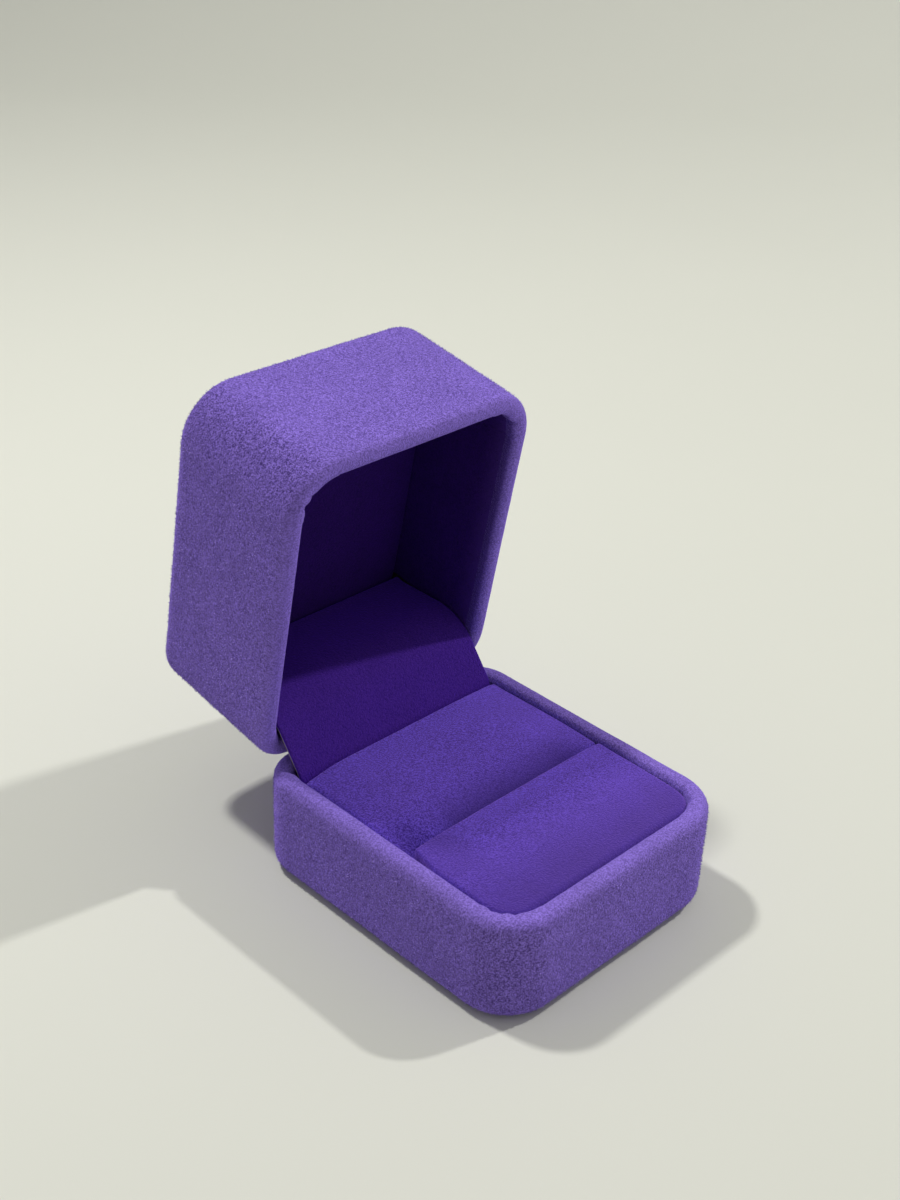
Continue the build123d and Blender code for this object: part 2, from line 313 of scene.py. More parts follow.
class Shade:
    """A node material with short ways to add its nodes."""

    def __init__(self, name):
        self.material = bpy.data.materials.new(name)
        self.material.use_nodes = True
        self.tree = self.material.node_tree
        self.shader = self.tree.nodes["Principled BSDF"]
        self.place = self.tree.nodes.new("ShaderNodeTexCoord").outputs["Object"]

    def add(self, kind, settings=None, **sockets):
        made = self.tree.nodes.new(kind)
        for key, value in (settings or {}).items():
            setattr(made, key, value)
        for key, value in sockets.items():
            socket = made.inputs[int(key[1:])] if key[0] == "_" else made.inputs[key.replace("_", " ")]
            if isinstance(value, bpy.types.NodeSocket):
                self.tree.links.new(value, socket)
            else:
                socket.default_value = value
        return made

    def noise(self, size, detail=2.0, rough=0.5, place=None, distortion=0.0):
        """Noise whose features are about that size in metres."""
        made = self.add("ShaderNodeTexNoise", Vector=place or self.place, Scale=1 / size,
                        Detail=detail, Roughness=rough, Distortion=distortion)
        return made.outputs["Fac"]

    def ramp(self, value, low, high, to_low=0.0, to_high=1.0):
        """Maps a range of a value to another, clamped."""
        made = self.add("ShaderNodeMapRange", Value=value, From_Min=low, From_Max=high,
                        To_Min=to_low, To_Max=to_high)
        return made.outputs["Result"]

    def math(self, operation, a, b):
        return self.add("ShaderNodeMath", {"operation": operation}, _0=a, _1=b).outputs[0]

    def mix(self, share, a, b, blend="MIX"):
        """A colour between two others."""
        made = self.add("ShaderNodeMix", {"data_type": "RGBA", "blend_type": blend})
        for number, value in ((0, share), (6, a), (7, b)):
            if isinstance(value, bpy.types.NodeSocket):
                self.tree.links.new(value, made.inputs[number])
            else:
                made.inputs[number].default_value = (*value, 1) if number else value
        return made.outputs[2]

    def bump(self, height, distance, strength=1.0, under=None):
        made = self.add("ShaderNodeBump", Height=height, Distance=distance, Strength=strength)
        if under:
            self.tree.links.new(under, made.inputs["Normal"])
        return made.outputs["Normal"]

    def link(self, socket, output):
        self.tree.links.new(output, self.shader.inputs[socket])

    def set(self, **constants):
        for key, value in constants.items():
            self.shader.inputs[key.replace("_", " ")].default_value = value


def painted_sheen_share(shade, share):
    """Painted sheen: pulls a share towards an even, paler tone where the attribute for pressed pile
    and painted sheen is set.
    """
    pressed_pile_and_painted_sheen = shade.add("ShaderNodeAttribute", {"attribute_name": "pressed_pile_and_painted_sheen"}).outputs["Fac"]
    missing = shade.math("SUBTRACT", 0.66, share)
    return shade.math("ADD", share, shade.math("MULTIPLY", missing,
                                               shade.math("MULTIPLY", pressed_pile_and_painted_sheen, 0.45)))


def tufts(name, tone, deep, sheen_tint, sheen, inner):
    """The fibre tufts: each has a tone of its own. Those inside the rims take the lining's deeper
    tones as painted shade, and a painted sheen evens them out on the crests.
    """
    shade = Shade(name)
    mark = shade.add("ShaderNodeAttribute", {"attribute_name": "lining"}).outputs["Fac"]
    own = shade.add("ShaderNodeAttribute", {"attribute_name": "tuft_tone"}).outputs["Fac"]
    swept = shade.noise(9 * MM, detail=2.0, distortion=0.6)
    clump = shade.ramp(shade.noise(0.30 * MM, detail=0.0, rough=0.5), 0.43, 0.57, 0.05, 0.60)
    share = shade.math("ADD", shade.math("MULTIPLY", shade.math("MULTIPLY", own, own), 0.40),
                       shade.math("ADD", clump, shade.ramp(swept, 0.3, 0.7, 0.0, 0.08)))
    share = painted_sheen_share(shade, share)
    outer_tone = shade.mix(share, deep, tone)
    inner_tone = shade.mix(share, inner[1], inner[0])
    shade.link("Base Color", shade.mix(mark, outer_tone, inner_tone))
    shade.link("Roughness", shade.ramp(swept, 0.3, 0.7, 0.8, 0.95))
    shade.set(Specular_IOR_Level=0.1, Sheen_Weight=sheen, Sheen_Roughness=0.45,
              Sheen_Tint=(*sheen_tint, 1))
    return shade.material


def velvet(name, tone, deep, sheen_tint, sheen=0.35, grain=0.42 * MM, inner=None, painted_light_and_shade=None,
           bumps=(0.22 * MM, 0.14 * MM)):
    """Flocked velvet: upright fibres that show dark between and pale where they catch light.

    inner gives the tones that the lining attribute leads to: painted shade on the cover's velvet
    inside the rim.
    The colour argument after inner is where the attribute of the same name leads: painted shade on
    the pads, and a painted highlight on the lining beside the rim.
    """
    shade = Shade(name)
    fibres = shade.noise(grain, detail=1.0, rough=0.5)
    tufts = shade.noise(grain * 1.9, detail=2.0, rough=0.55)
    lie = shade.noise(9 * MM, detail=2.0, rough=0.5, distortion=0.6)
    brushed = shade.noise(26 * MM, detail=1.0, rough=0.4)
    speckle = shade.ramp(fibres, 0.43, 0.57)
    clump = shade.ramp(tufts, 0.36, 0.64)
    share = painted_sheen_share(shade, shade.math("ADD", shade.math("MULTIPLY", speckle, 0.62),
                                     shade.math("MULTIPLY", clump, 0.38)))
    if inner:
        mark = shade.add("ShaderNodeAttribute", {"attribute_name": "lining"}).outputs["Fac"]
        tone, deep = shade.mix(mark, tone, inner[0]), shade.mix(mark, deep, inner[1])
    body = shade.mix(share, deep, tone)
    # Painted light and shade: the pads go deeper where they lie in shade, and the lining goes paler
    # beside the rim.
    if painted_light_and_shade:
        leaning = shade.add("ShaderNodeAttribute", {"attribute_name": "painted_light_and_shade"}).outputs["Fac"]
        body = shade.mix(leaning, body, painted_light_and_shade)
    worn = shade.ramp(lie, 0.3, 0.7, 0.93, 1.07)
    swept = shade.ramp(brushed, 0.3, 0.7, 0.95, 1.05)
    # Painted sheen: the colour grows lighter on the rims' crests, the open lid's upward wall and the
    # pads' lit edges.
    pressed_pile_and_painted_sheen = shade.add("ShaderNodeAttribute", {"attribute_name": "pressed_pile_and_painted_sheen"}).outputs["Fac"]
    painted_sheen_gain = shade.ramp(pressed_pile_and_painted_sheen, 0.0, 1.0, 1.0, 1.2)
    even = shade.math("MULTIPLY", worn, swept)
    level = shade.add("ShaderNodeVectorMath", {"operation": "SCALE"},
                      _0=body, Scale=shade.math("MULTIPLY", even, painted_sheen_gain)).outputs[0]
    shade.link("Base Color", level)
    shade.link("Roughness", shade.ramp(tufts, 0.3, 0.7, 0.82, 0.95))
    coarse = shade.bump(tufts, bumps[0], 0.9)
    shade.link("Normal", shade.bump(fibres, bumps[1], 0.9, coarse))
    shade.set(Specular_IOR_Level=0.12, Sheen_Weight=sheen, Sheen_Roughness=0.6,
              Sheen_Tint=(*sheen_tint, 1))
    return shade.material


def card_paper(name, tone, rough=0.85):
    """Pressed card: fine pulp fibres, a little mottled."""
    shade = Shade(name)
    pulp = shade.noise(0.5 * MM, detail=5.0, rough=0.7)
    cloud = shade.noise(6 * MM, detail=2.0)
    darker = tuple(0.72 * part for part in tone)
    paler = tuple(min(1.0, 1.18 * part) for part in tone)
    shade.link("Base Color", shade.mix(shade.ramp(cloud, 0.3, 0.7, 0.0, 0.25),
                                       shade.mix(shade.ramp(pulp, 0.3, 0.7), darker, paler),
                                       darker))
    shade.link("Roughness", shade.ramp(pulp, 0.3, 0.7, rough - 0.08, rough + 0.08))
    shade.link("Normal", shade.bump(pulp, 0.03 * MM, 0.6))
    shade.set(Specular_IOR_Level=0.25)
    return shade.material


def moulded_plastic(name, tone):
    """Injection-moulded shell: a fine spark texture with slight flow marks."""
    shade = Shade(name)
    spark = shade.noise(0.16 * MM, detail=2.0, rough=0.6)
    flow = shade.noise(14 * MM, detail=1.0, distortion=1.5)
    paler = tuple(1.35 * part for part in tone)
    shade.link("Base Color", shade.mix(shade.ramp(flow, 0.35, 0.65), tone, paler))
    shade.link("Roughness", shade.ramp(spark, 0.3, 0.7, 0.42, 0.56))
    shade.link("Normal", shade.bump(spark, 0.012 * MM, 0.5))
    shade.set(Specular_IOR_Level=0.45)
    return shade.material


def rolled_steel(name, tone, rough, scratch=0.012 * MM):
    """Rolled sheet steel: faint rolling lines along X and a few dull patches."""
    shade = Shade(name)
    lines = shade.add("ShaderNodeMapping", Vector=shade.place, Scale=(0.06, 1.0, 1.0))
    rolled = shade.noise(0.09 * MM, detail=3.0, rough=0.6, place=lines.outputs[0])
    dull = shade.noise(3 * MM, detail=2.0)
    darker = tuple(0.8 * part for part in tone)
    shade.link("Base Color", shade.mix(shade.ramp(dull, 0.35, 0.65), darker, tone))
    shade.link("Roughness", shade.math("ADD", shade.ramp(rolled, 0.3, 0.7, -0.06, 0.06),
                                       shade.ramp(dull, 0.3, 0.7, rough - 0.05, rough + 0.08)))
    shade.link("Normal", shade.bump(rolled, scratch, 0.4))
    shade.set(Metallic=1.0)
    return shade.material


def foam(name):
    """Open-cell foam: small round cells."""
    shade = Shade(name)
    cells = shade.add("ShaderNodeTexVoronoi", Vector=shade.place, Scale=1 / (0.45 * MM))
    depth = shade.ramp(cells.outputs["Distance"], 0.1, 0.7)
    shade.link("Base Color", shade.mix(depth, (0.50, 0.48, 0.42), (0.78, 0.76, 0.70)))
    shade.link("Roughness", shade.ramp(depth, 0.0, 1.0, 0.95, 0.8))
    shade.link("Normal", shade.bump(depth, 0.12 * MM, 0.8))
    shade.set(Specular_IOR_Level=0.2)
    return shade.material


MATERIALS = {}


def finish_of(name):
    """A finish by its name, made when it is first asked for."""
    tones = bpy.context.scene.ring_box_finishes
    makers = {
        # The outer velvet and its tufts take the lining's deeper tones over the rim's inner side:
        # painted shade.
        "cover_velvet": lambda: velvet(
            "cover_velvet", tones.cover, tones.cover_deep, (0.38, 0.25, 1.0), 1.0,
            grain=0.26 * MM, inner=(tones.lining, tones.lining_deep),
            bumps=(0.20 * MM, 0.22 * MM)),
        "cover_pile": lambda: tufts(
            "cover_pile", tones.tips, tones.cover_deep, (0.42, 0.30, 1.0), 0.6,
            (tones.lining, tones.lining_deep)),
        # The pads' velvet, with painted shade from its attribute and a painted sheen by the slot.
        "pad_velvet": lambda: velvet(
            "pad_velvet", tones.pad, tones.pad_deep, (0.42, 0.22, 1.0), 1.0, 0.25 * MM,
            painted_light_and_shade=tones.pad_painted_shade, bumps=(0.12 * MM, 0.16 * MM)),
        "flap_velvet": lambda: velvet(
            "flap_velvet", tones.flap, tones.flap_deep, (0.17, 0.045, 1.0), 1.0, 0.25 * MM),
        # The lining's velvet, with a painted highlight beside the rim.
        "lining_velvet": lambda: velvet(
            "lining_velvet", tones.lining, tones.lining_deep, (0.16, 0.04, 1.0), 0.10, 0.25 * MM,
            painted_light_and_shade=tones.lining_painted_highlight),
        "plain_card": lambda: card_paper("plain_card", tones.card),
        "underside_card": lambda: card_paper("underside_card", tones.under, 0.8),
        "shell_plastic": lambda: moulded_plastic("shell_plastic", tones.plastic),
        "hinge_steel": lambda: rolled_steel("hinge_steel", (0.56, 0.56, 0.57), 0.34),
        "spring_steel": lambda: rolled_steel("spring_steel", (0.26, 0.28, 0.34), 0.28),
        "rivet_brass": lambda: rolled_steel("rivet_brass", (0.72, 0.52, 0.24), 0.3),
        "pad_foam": lambda: foam("pad_foam"),
    }
    if name not in MATERIALS:
        MATERIALS[name] = makers[name]()
    return MATERIALS[name]


def paint_node(node, finish):
    """Gives a CAD node its finish."""
    mesh = frame["nodes"][node].data
    mesh.materials.clear()
    mesh.materials.append(finish_of(finish))


def place_piece(obj, body, slot, *nodes):
    """Says what a finished piece rides on and hides the CAD nodes that it stands for; its slot is not
    used.
    """
    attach(obj, body)
    if nodes:
        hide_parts(*nodes)


# ---------------------------------------------------------------- geometry node trees

def sweep_tree():
    """A section swept round the box's outline. The section is the object's own line of points,
    with the distance out from the outline as X and the depth under it as Y."""
    tree = Tree("Swept Cover", [
        ("Width", "NodeSocketFloat"), ("Depth", "NodeSocketFloat"),
        ("Front Corner", "NodeSocketFloat"), ("Back Corner", "NodeSocketFloat"),
        ("Spacing", "NodeSocketFloat")])
    outline = tree.node("GeometryNodeCurvePrimitiveQuadrilateral",
                        Width=tree.given("Width"), Height=tree.given("Depth"))
    place = tree.node("GeometryNodeInputPosition")
    parts = tree.node("ShaderNodeSeparateXYZ", Vector=place)
    behind = tree.node("FunctionNodeCompare", {"operation": "GREATER_THAN"},
                       _0=parts.outputs["Y"], _1=0.0)
    radius = tree.node("GeometryNodeSwitch", {"input_type": "FLOAT"}, Switch=behind,
                       **{"False": tree.given("Front Corner"), "True": tree.given("Back Corner")})
    rounded = tree.node("GeometryNodeFilletCurve", {"mode": "POLY"}, Curve=outline,
                        Count=24, Radius=radius)
    even = tree.node("GeometryNodeResampleCurve", {"mode": "LENGTH"}, Curve=rounded,
                     Length=tree.given("Spacing"))
    level = tree.node("GeometryNodeSetCurveNormal", {"mode": "Z_UP"}, Curve=even)
    section = tree.node("GeometryNodeMeshToCurve", Mesh=tree.given("Geometry"))
    swept = tree.node("GeometryNodeCurveToMesh", Curve=level, Profile_Curve=section)
    return tree.end(swept)


def relief_tree():
    """The slight unevenness of velvet that is glued down: soft swells and a fine ripple."""
    tree = Tree("Velvet Relief", [
        ("Swell", "NodeSocketFloat"), ("Swell Size", "NodeSocketFloat"),
        ("Ripple", "NodeSocketFloat"), ("Ripple Size", "NodeSocketFloat"),
        ("Seed", "NodeSocketFloat")])
    place = tree.node("GeometryNodeInputPosition")
    normal = tree.node("GeometryNodeInputNormal")
    total = None
    for depth, size in (("Swell", "Swell Size"), ("Ripple", "Ripple Size")):
        scale = tree.node("ShaderNodeMath", {"operation": "DIVIDE"}, _0=1.0, _1=tree.given(size))
        noise = tree.node("ShaderNodeTexNoise", {"noise_dimensions": "4D"}, Vector=place,
                          W=tree.given("Seed"), Scale=scale, Detail=2.0)
        centred = tree.node("ShaderNodeMath", {"operation": "SUBTRACT"}, _0=noise.outputs[0], _1=0.5)
        part = tree.node("ShaderNodeMath", {"operation": "MULTIPLY"}, _0=centred,
                         _1=tree.given(depth))
        total = part if total is None else tree.node(
            "ShaderNodeMath", {"operation": "ADD"}, _0=total, _1=part)
    push = tree.node("ShaderNodeVectorMath", {"operation": "SCALE"}, _0=normal, Scale=total)
    moved = tree.node("GeometryNodeSetPosition", Geometry=tree.given("Geometry"), Offset=push)
    return tree.end(moved)


def pile_tree():
    """Tufts of fibres that stand on the velvet's skin and lean the way that it was brushed.
    The skin's lining attribute thins them out, and its attribute for pressed pile and painted sheen
    presses them down where the rims meet."""
    tree = Tree("Pile", [
        ("Density", "NodeSocketFloat"), ("Tall", "NodeSocketFloat"), ("Wide", "NodeSocketFloat"),
        ("Lean", "NodeSocketFloat"), ("Brush Size", "NodeSocketFloat"), ("Seed", "NodeSocketInt")])

    def reckon(operation, a, b):
        return tree.node("ShaderNodeMath", {"operation": operation}, _0=a, _1=b)

    lining = tree.node("GeometryNodeInputNamedAttribute", {"data_type": "FLOAT"}, Name="lining")
    bare = reckon("MULTIPLY", lining, 0.55)
    share = reckon("SUBTRACT", 1.0, bare)
    density = reckon("MULTIPLY", share, tree.given("Density"))
    spread = tree.node("GeometryNodeDistributePointsOnFaces", {"distribute_method": "RANDOM"},
                       Mesh=tree.given("Geometry"), Density=density, Seed=tree.given("Seed"))
    place = tree.node("GeometryNodeInputPosition")
    scale = reckon("DIVIDE", 1.0, tree.given("Brush Size"))
    brush = tree.node("ShaderNodeTexNoise", {"noise_dimensions": "4D"}, Vector=place,
                      W=tree.given("Seed"), Scale=scale, Detail=2.0)
    brushed = tree.node("ShaderNodeVectorMath", {"operation": "SUBTRACT"},
                        _0=brush.outputs["Color"], _1=(0.5, 0.5, 0.5))
    swept = tree.node("ShaderNodeVectorMath", {"operation": "SCALE"}, _0=brushed,
                      Scale=tree.given("Lean"))
    stray = tree.node("FunctionNodeRandomValue", {"data_type": "FLOAT_VECTOR"},
                      _0=(-0.55, -0.55, -0.55), _1=(0.55, 0.55, 0.55), Seed=tree.given("Seed"))
    upright = tree.node("ShaderNodeVectorMath", {"operation": "ADD"},
                        _0=spread.outputs["Normal"], _1=swept)
    leaning = tree.node("ShaderNodeVectorMath", {"operation": "ADD"}, _0=upright, _1=stray)
    turn = tree.node("FunctionNodeAlignRotationToVector", {"axis": "Z"}, Vector=leaning)
    shade = tree.node("FunctionNodeRandomValue", {"data_type": "FLOAT"}, _2=0.0, _3=1.0,
                      Seed=tree.given("Seed"))
    toned = tree.node("GeometryNodeStoreNamedAttribute", {"data_type": "FLOAT", "domain": "POINT"},
                      Geometry=spread, Name="tuft_tone", Value=shade.outputs[1])
    tuft = tree.node("GeometryNodeMeshCone", {"fill_type": "NGON"}, Vertices=3,
                     **{"Side_Segments": 1, "Fill_Segments": 1, "Radius_Top": 0.0,
                        "Radius_Bottom": tree.given("Wide"), "Depth": tree.given("Tall")})
    sink = tree.node("ShaderNodeCombineXYZ", Z=reckon("MULTIPLY", tree.given("Tall"), -0.12))
    rooted = tree.node("GeometryNodeTransform", Geometry=tuft, Translation=sink)
    growth = tree.node("FunctionNodeRandomValue", {"data_type": "FLOAT"}, _2=0.5, _3=1.15,
                       Seed=tree.given("Seed"))
    pressed_pile_and_painted_sheen = tree.node("GeometryNodeInputNamedAttribute", {"data_type": "FLOAT"}, Name="pressed_pile_and_painted_sheen")
    pressed = reckon("SUBTRACT", 1.0, reckon("MULTIPLY", pressed_pile_and_painted_sheen, 0.62))
    placed = tree.node("GeometryNodeInstanceOnPoints", Points=toned, Instance=rooted,
                       Rotation=turn, Scale=reckon("MULTIPLY", growth.outputs[1], pressed))
    return tree.end(placed)


def rivet_tree():
    """Domed rivets on the object's own points, with their shanks along Y."""
    tree = Tree("Rivets", [
        ("Head Radius", "NodeSocketFloat"), ("Head Height", "NodeSocketFloat"),
        ("Shank Radius", "NodeSocketFloat"), ("Shank Length", "NodeSocketFloat")])
    ball = tree.node("GeometryNodeMeshUVSphere", Segments=28, Rings=14, Radius=1.0)
    place = tree.node("GeometryNodeInputPosition")
    parts = tree.node("ShaderNodeSeparateXYZ", Vector=place)
    upper = tree.node("ShaderNodeMath", {"operation": "MAXIMUM"}, _0=parts.outputs["Z"], _1=0.0)
    half = tree.node("ShaderNodeCombineXYZ", X=parts.outputs["X"], Y=parts.outputs["Y"], Z=upper)
    dome = tree.node("GeometryNodeSetPosition", Geometry=ball, Position=half)
    head_size = tree.node("ShaderNodeCombineXYZ", X=tree.given("Head Radius"),
                          Y=tree.given("Head Radius"), Z=tree.given("Head Height"))
    head = tree.node("GeometryNodeTransform", Geometry=dome, Scale=head_size)
    shank = tree.node("GeometryNodeMeshCylinder", Vertices=24, Radius=tree.given("Shank Radius"),
                      Depth=tree.given("Shank Length"))
    down = tree.node("ShaderNodeMath", {"operation": "MULTIPLY"}, _0=tree.given("Shank Length"),
                     _1=-0.5)
    down_by = tree.node("ShaderNodeCombineXYZ", Z=down)
    lowered = tree.node("GeometryNodeTransform", Geometry=shank, Translation=down_by)
    whole = tree.node("GeometryNodeJoinGeometry", Geometry=head)
    tree.tree.links.new(lowered.outputs[0], whole.inputs[0])
    turned = tree.node("GeometryNodeTransform", Geometry=whole,
                       Rotation=(math.radians(90), 0.0, 0.0))
    points = tree.node("GeometryNodeMeshToPoints", Mesh=tree.given("Geometry"))
    placed = tree.node("GeometryNodeInstanceOnPoints", Points=points, Instance=turned)
    return tree.end(placed)


# ---------------------------------------------------------------- covers

def arc(centre, radius, start, stop, steps):
    """Points on an arc in the section, angles in degrees."""
    turns = [math.radians(start + (stop - start) * i / steps) for i in range(steps + 1)]
    return [(centre[0] + radius * math.cos(t), centre[1] + radius * math.sin(t)) for t in turns]


def run(start, stop, spacing):
    """Points along a straight part of the section, without its two ends."""
    steps = max(1, round(math.dist(start, stop) / spacing))
    return [tuple(a + (b - a) * i / steps for a, b in zip(start, stop)) for i in range(1, steps)]


def cover_section(sizes, height, edge):
    """The velvet's path from under the closed end, over the rim and down inside."""
    gap = sizes.spacing
    under = (sizes.turn_under, 0.0)
    lower = arc((edge, edge), edge, 270, 180, 12)
    outer = arc((sizes.rim_outer, height - sizes.rim_outer), sizes.rim_outer, 180, 90, 12)
    inner = arc((sizes.wall - sizes.rim_inner, height - sizes.rim_inner), sizes.rim_inner, 90, 0, 8)
    end = (sizes.wall, height - sizes.turn_down)
    points = [under] + run(under, lower[0], gap) + lower
    points += run(lower[-1], outer[0], gap) + outer + run(outer[-1], inner[0], gap)
    inside_from = len(points) + 3
    points += inner + run(inner[-1], end, gap) + [end]
    return points, inside_from


def section_object(name, points, inside_from, rim=1.0, fade=7):
    """The section as an object. The lining attribute grows over the rim's inner side, where the cover
    takes the lining's deeper tones as painted shade. An attribute over its crest presses the pile down
    and lightens it as a painted sheen. An attribute of painted light fades into the lining, as a
    painted highlight beside the rim."""
    mesh = bpy.data.meshes.new(name)
    mesh.from_pydata([(-x, -y, 0.0) for x, y in points],
                     [(i, i + 1) for i in range(len(points) - 1)], [])
    mark = mesh.attributes.new("lining", "FLOAT", "POINT")
    mark.data.foreach_set("value", [ease((i - inside_from) / fade) for i in range(len(points))])
    pressed_pile_and_painted_sheen = mesh.attributes.new("pressed_pile_and_painted_sheen", "FLOAT", "POINT")
    pressed_pile_and_painted_sheen.data.foreach_set("value", [ease((y - rim + 2.2 * MM) / (1.8 * MM)) for _, y in points])
    painted_light_and_shade = mesh.attributes.new("painted_light_and_shade", "FLOAT", "POINT")
    painted_light_and_shade.data.foreach_set("value", [ease(1 - (i - inside_from) / (2.2 * fade))
                                   for i in range(len(points))])
    return link_object(name, mesh)


def close_end(work, depth, width):
    """Closes the closed end with rings that shrink to the outline's middle line."""
    rings = 16
    reach = max(depth - width, 0.0) / 2
    low = min(vertex.co.z for vertex in work.verts)
    rim = [edge for edge in work.edges if edge.is_boundary
           and max(v.co.z for v in edge.verts) < low + 0.05 * MM]
    for ring in range(1, rings + 1):
        made = bmesh.ops.extrude_edge_only(work, edges=rim)["geom"]
        new = [item for item in made if isinstance(item, bmesh.types.BMVert)]
        share = 1 / (rings + 1 - ring)
        for vertex in new:
            goal = Vector((0.0, min(max(vertex.co.y, -reach), reach), vertex.co.z))
            vertex.co = vertex.co.lerp(goal, share)
        rim = [item for item in made if isinstance(item, bmesh.types.BMEdge) and item.is_boundary]
    bmesh.ops.remove_doubles(work, verts=work.verts, dist=0.01 * MM)


def pleat_corners(work, sizes, height, seed):
    """Gathers the velvet inside the rim's corners, where it has to be taken in."""
    draw = random.Random(seed)
    for corner_x in (-1, 1):
        for corner_y, radius in ((-1, sizes.front_corner), (1, sizes.back_corner)):
            centre = Vector((corner_x * (sizes.width / 2 - radius),
                             corner_y * (sizes.depth / 2 - radius)))
            folds = [(draw.uniform(18, 72), draw.uniform(0.55, 1.0), draw.uniform(5, 8))
                     for _ in range(3)]
            for vertex in work.verts:
                out = Vector((vertex.co.x, vertex.co.y)) - centre
                if out.x * corner_x < 0 or out.y * corner_y < 0:
                    continue
                inset = radius - out.length
                if inset < sizes.rim_outer * 0.9 or vertex.co.z < height / 2:
                    continue
                around = math.degrees(math.atan2(abs(out.y), abs(out.x)))
                into = ease((inset - 0.6 * sizes.rim_outer) / (sizes.wall - 0.6 * sizes.rim_outer))
                fall = 1 - 0.7 * ease((height - vertex.co.z) / sizes.turn_down)
                push = sum(size * math.exp(-((around - at) / wide) ** 2)
                           for at, size, wide in folds)
                ripple = push - 0.45
                shift = sizes.pleat_depth * ripple * into * fall
                vertex.co.x += out.x / out.length * shift
                vertex.co.y += out.y / out.length * shift
                vertex.co.z -= 0.35 * max(ripple, 0.0) * sizes.pleat_depth * into * fall


def press_for_hinge(work, sizes, height):
    """Presses the rim down under the hinge and keeps the velvet off its leaf."""
    half = (PIN_HIGH.x - PIN_LOW.x) / 2 + 0.4 * MM
    soft = 1.6 * MM
    near = 4.0 * MM
    skirt_top = height - sizes.rim_inner - 0.2 * MM
    for vertex in work.verts:
        if vertex.co.y < sizes.depth / 2 - sizes.wall - 0.6 * MM:
            continue
        share = 1 - ease((abs(vertex.co.x) - half) / soft)
        if share <= 0 or vertex.co.z < height / 2 - sizes.turn_down / 4:
            continue
        inside = vertex.co.y < sizes.depth / 2 - sizes.wall + 0.5 * MM
        if inside and vertex.co.z < skirt_top:
            lifted = skirt_top - (skirt_top - vertex.co.z) * (1.6 * MM / sizes.turn_down)
            vertex.co.z += (lifted - vertex.co.z) * share
        dip = ease(1 - (height - vertex.co.z) / near)
        vertex.co.z -= sizes.hinge_dip * share * dip


def sweep(section):
    """Sweeps a section round the box's outline."""
    sizes = bpy.context.scene.ring_box_covers
    run_tree(section, sweep_tree(), {
        "Width": sizes.width, "Depth": sizes.depth, "Front Corner": sizes.front_corner,
        "Back Corner": sizes.back_corner, "Spacing": sizes.spacing,
        "Material": finish_of("cover_velvet")})


def turn_inwards(work):
    """Turns an inner wall's faces towards the hollow."""
    bmesh.ops.recalc_face_normals(work, faces=work.faces)
    outermost = max(work.faces, key=lambda face: face.calc_center_median().x)
    if outermost.normal.x > 0:
        bmesh.ops.reverse_faces(work, faces=work.faces)


def make_cover(name, height, edge, closed, seed):
    """A half's velvet as a closed skin, standing on its closed end."""
    sizes = bpy.context.scene.ring_box_covers
    points, inside_from = cover_section(sizes, height, edge)
    # Where the cover turns to the lining's deeper tones inside the rim, as painted shade: later and
    # softer in the base.
    start, fade = (inside_from, 7) if closed else (inside_from + 7, 10)
    cover = section_object(name, points, start, height, fade)
    sweep(cover)

    def shape(work):
        bmesh.ops.remove_doubles(work, verts=work.verts, dist=0.01 * MM)
        if closed:
            close_end(work, sizes.depth, sizes.width)
        pleat_corners(work, sizes, height, seed)
        press_for_hinge(work, sizes, height)
        bmesh.ops.recalc_face_normals(work, faces=work.faces)
        middle = max(work.faces, key=lambda face: face.calc_center_median().x)
        if middle.normal.x < 0:
            bmesh.ops.reverse_faces(work, faces=work.faces)

    with_mesh(cover, shape)
    lay_unevenly(cover, seed)
    if closed:
        press_and_paint_front_wall(cover, sizes)
    pile = grow_pile(cover, name.replace("cover", "pile"), seed)
    line_inside(cover)
    thicken(cover, sizes.velvet)
    return cover, pile


def press_and_paint_front_wall(cover, sizes):
    """Raises the attribute for pressed pile and painted sheen on the wall opposite the hinge, which
    fingers brush smooth: its tufts lie lower, and a painted sheen lightens this wall, which faces up
    when the lid is open.
    """
    pressed_pile_and_painted_sheen = cover.data.attributes["pressed_pile_and_painted_sheen"].data
    for vertex, mark in zip(cover.data.vertices, pressed_pile_and_painted_sheen):
        outside = ease((1.2 * MM - vertex.co.y - sizes.depth / 2) / (0.8 * MM))
        mark.value = max(mark.value, 0.34 * outside)


def lay_unevenly(cover, seed):
    """Gives glued velvet its slight unevenness."""
    run_tree(cover, relief_tree(), {
        "Swell": 0.22 * MM, "Swell Size": 13 * MM, "Ripple": 0.07 * MM, "Ripple Size": 1.9 * MM,
        "Seed": float(seed), "Material": finish_of("cover_velvet")})


def grow_pile(skin, name, seed):
    """The fibre tufts on a skin, as a piece of their own."""
    sizes = bpy.context.scene.ring_box_pile
    pile = link_object(name, skin.data.copy())
    return run_tree(pile, pile_tree(), {
        "Density": sizes.density / MM ** 2, "Tall": sizes.tall, "Wide": sizes.wide,
        "Lean": sizes.lean, "Brush Size": 3.5 * MM, "Seed": seed,
        "Material": finish_of("cover_pile")})


def line_inside(cover):
    """Gives the faces that the lining attribute marks in full the lining's finish, a painted shade on
    the cover's velvet deep inside the rim.
    """
    cover.data.materials.append(finish_of("lining_velvet"))
    mark = cover.data.attributes["lining"].data
    for face in cover.data.polygons:
        if min(mark[i].value for i in face.vertices) > 0.99:
            face.material_index = 1


def thicken(cover, thickness):
    """Gives a skin its thickness, inwards."""
    skin = cover.modifiers.new("Skin", "SOLIDIFY")
    skin.thickness = thickness
    skin.offset = -1.0
    settle(cover)
    smooth(cover)


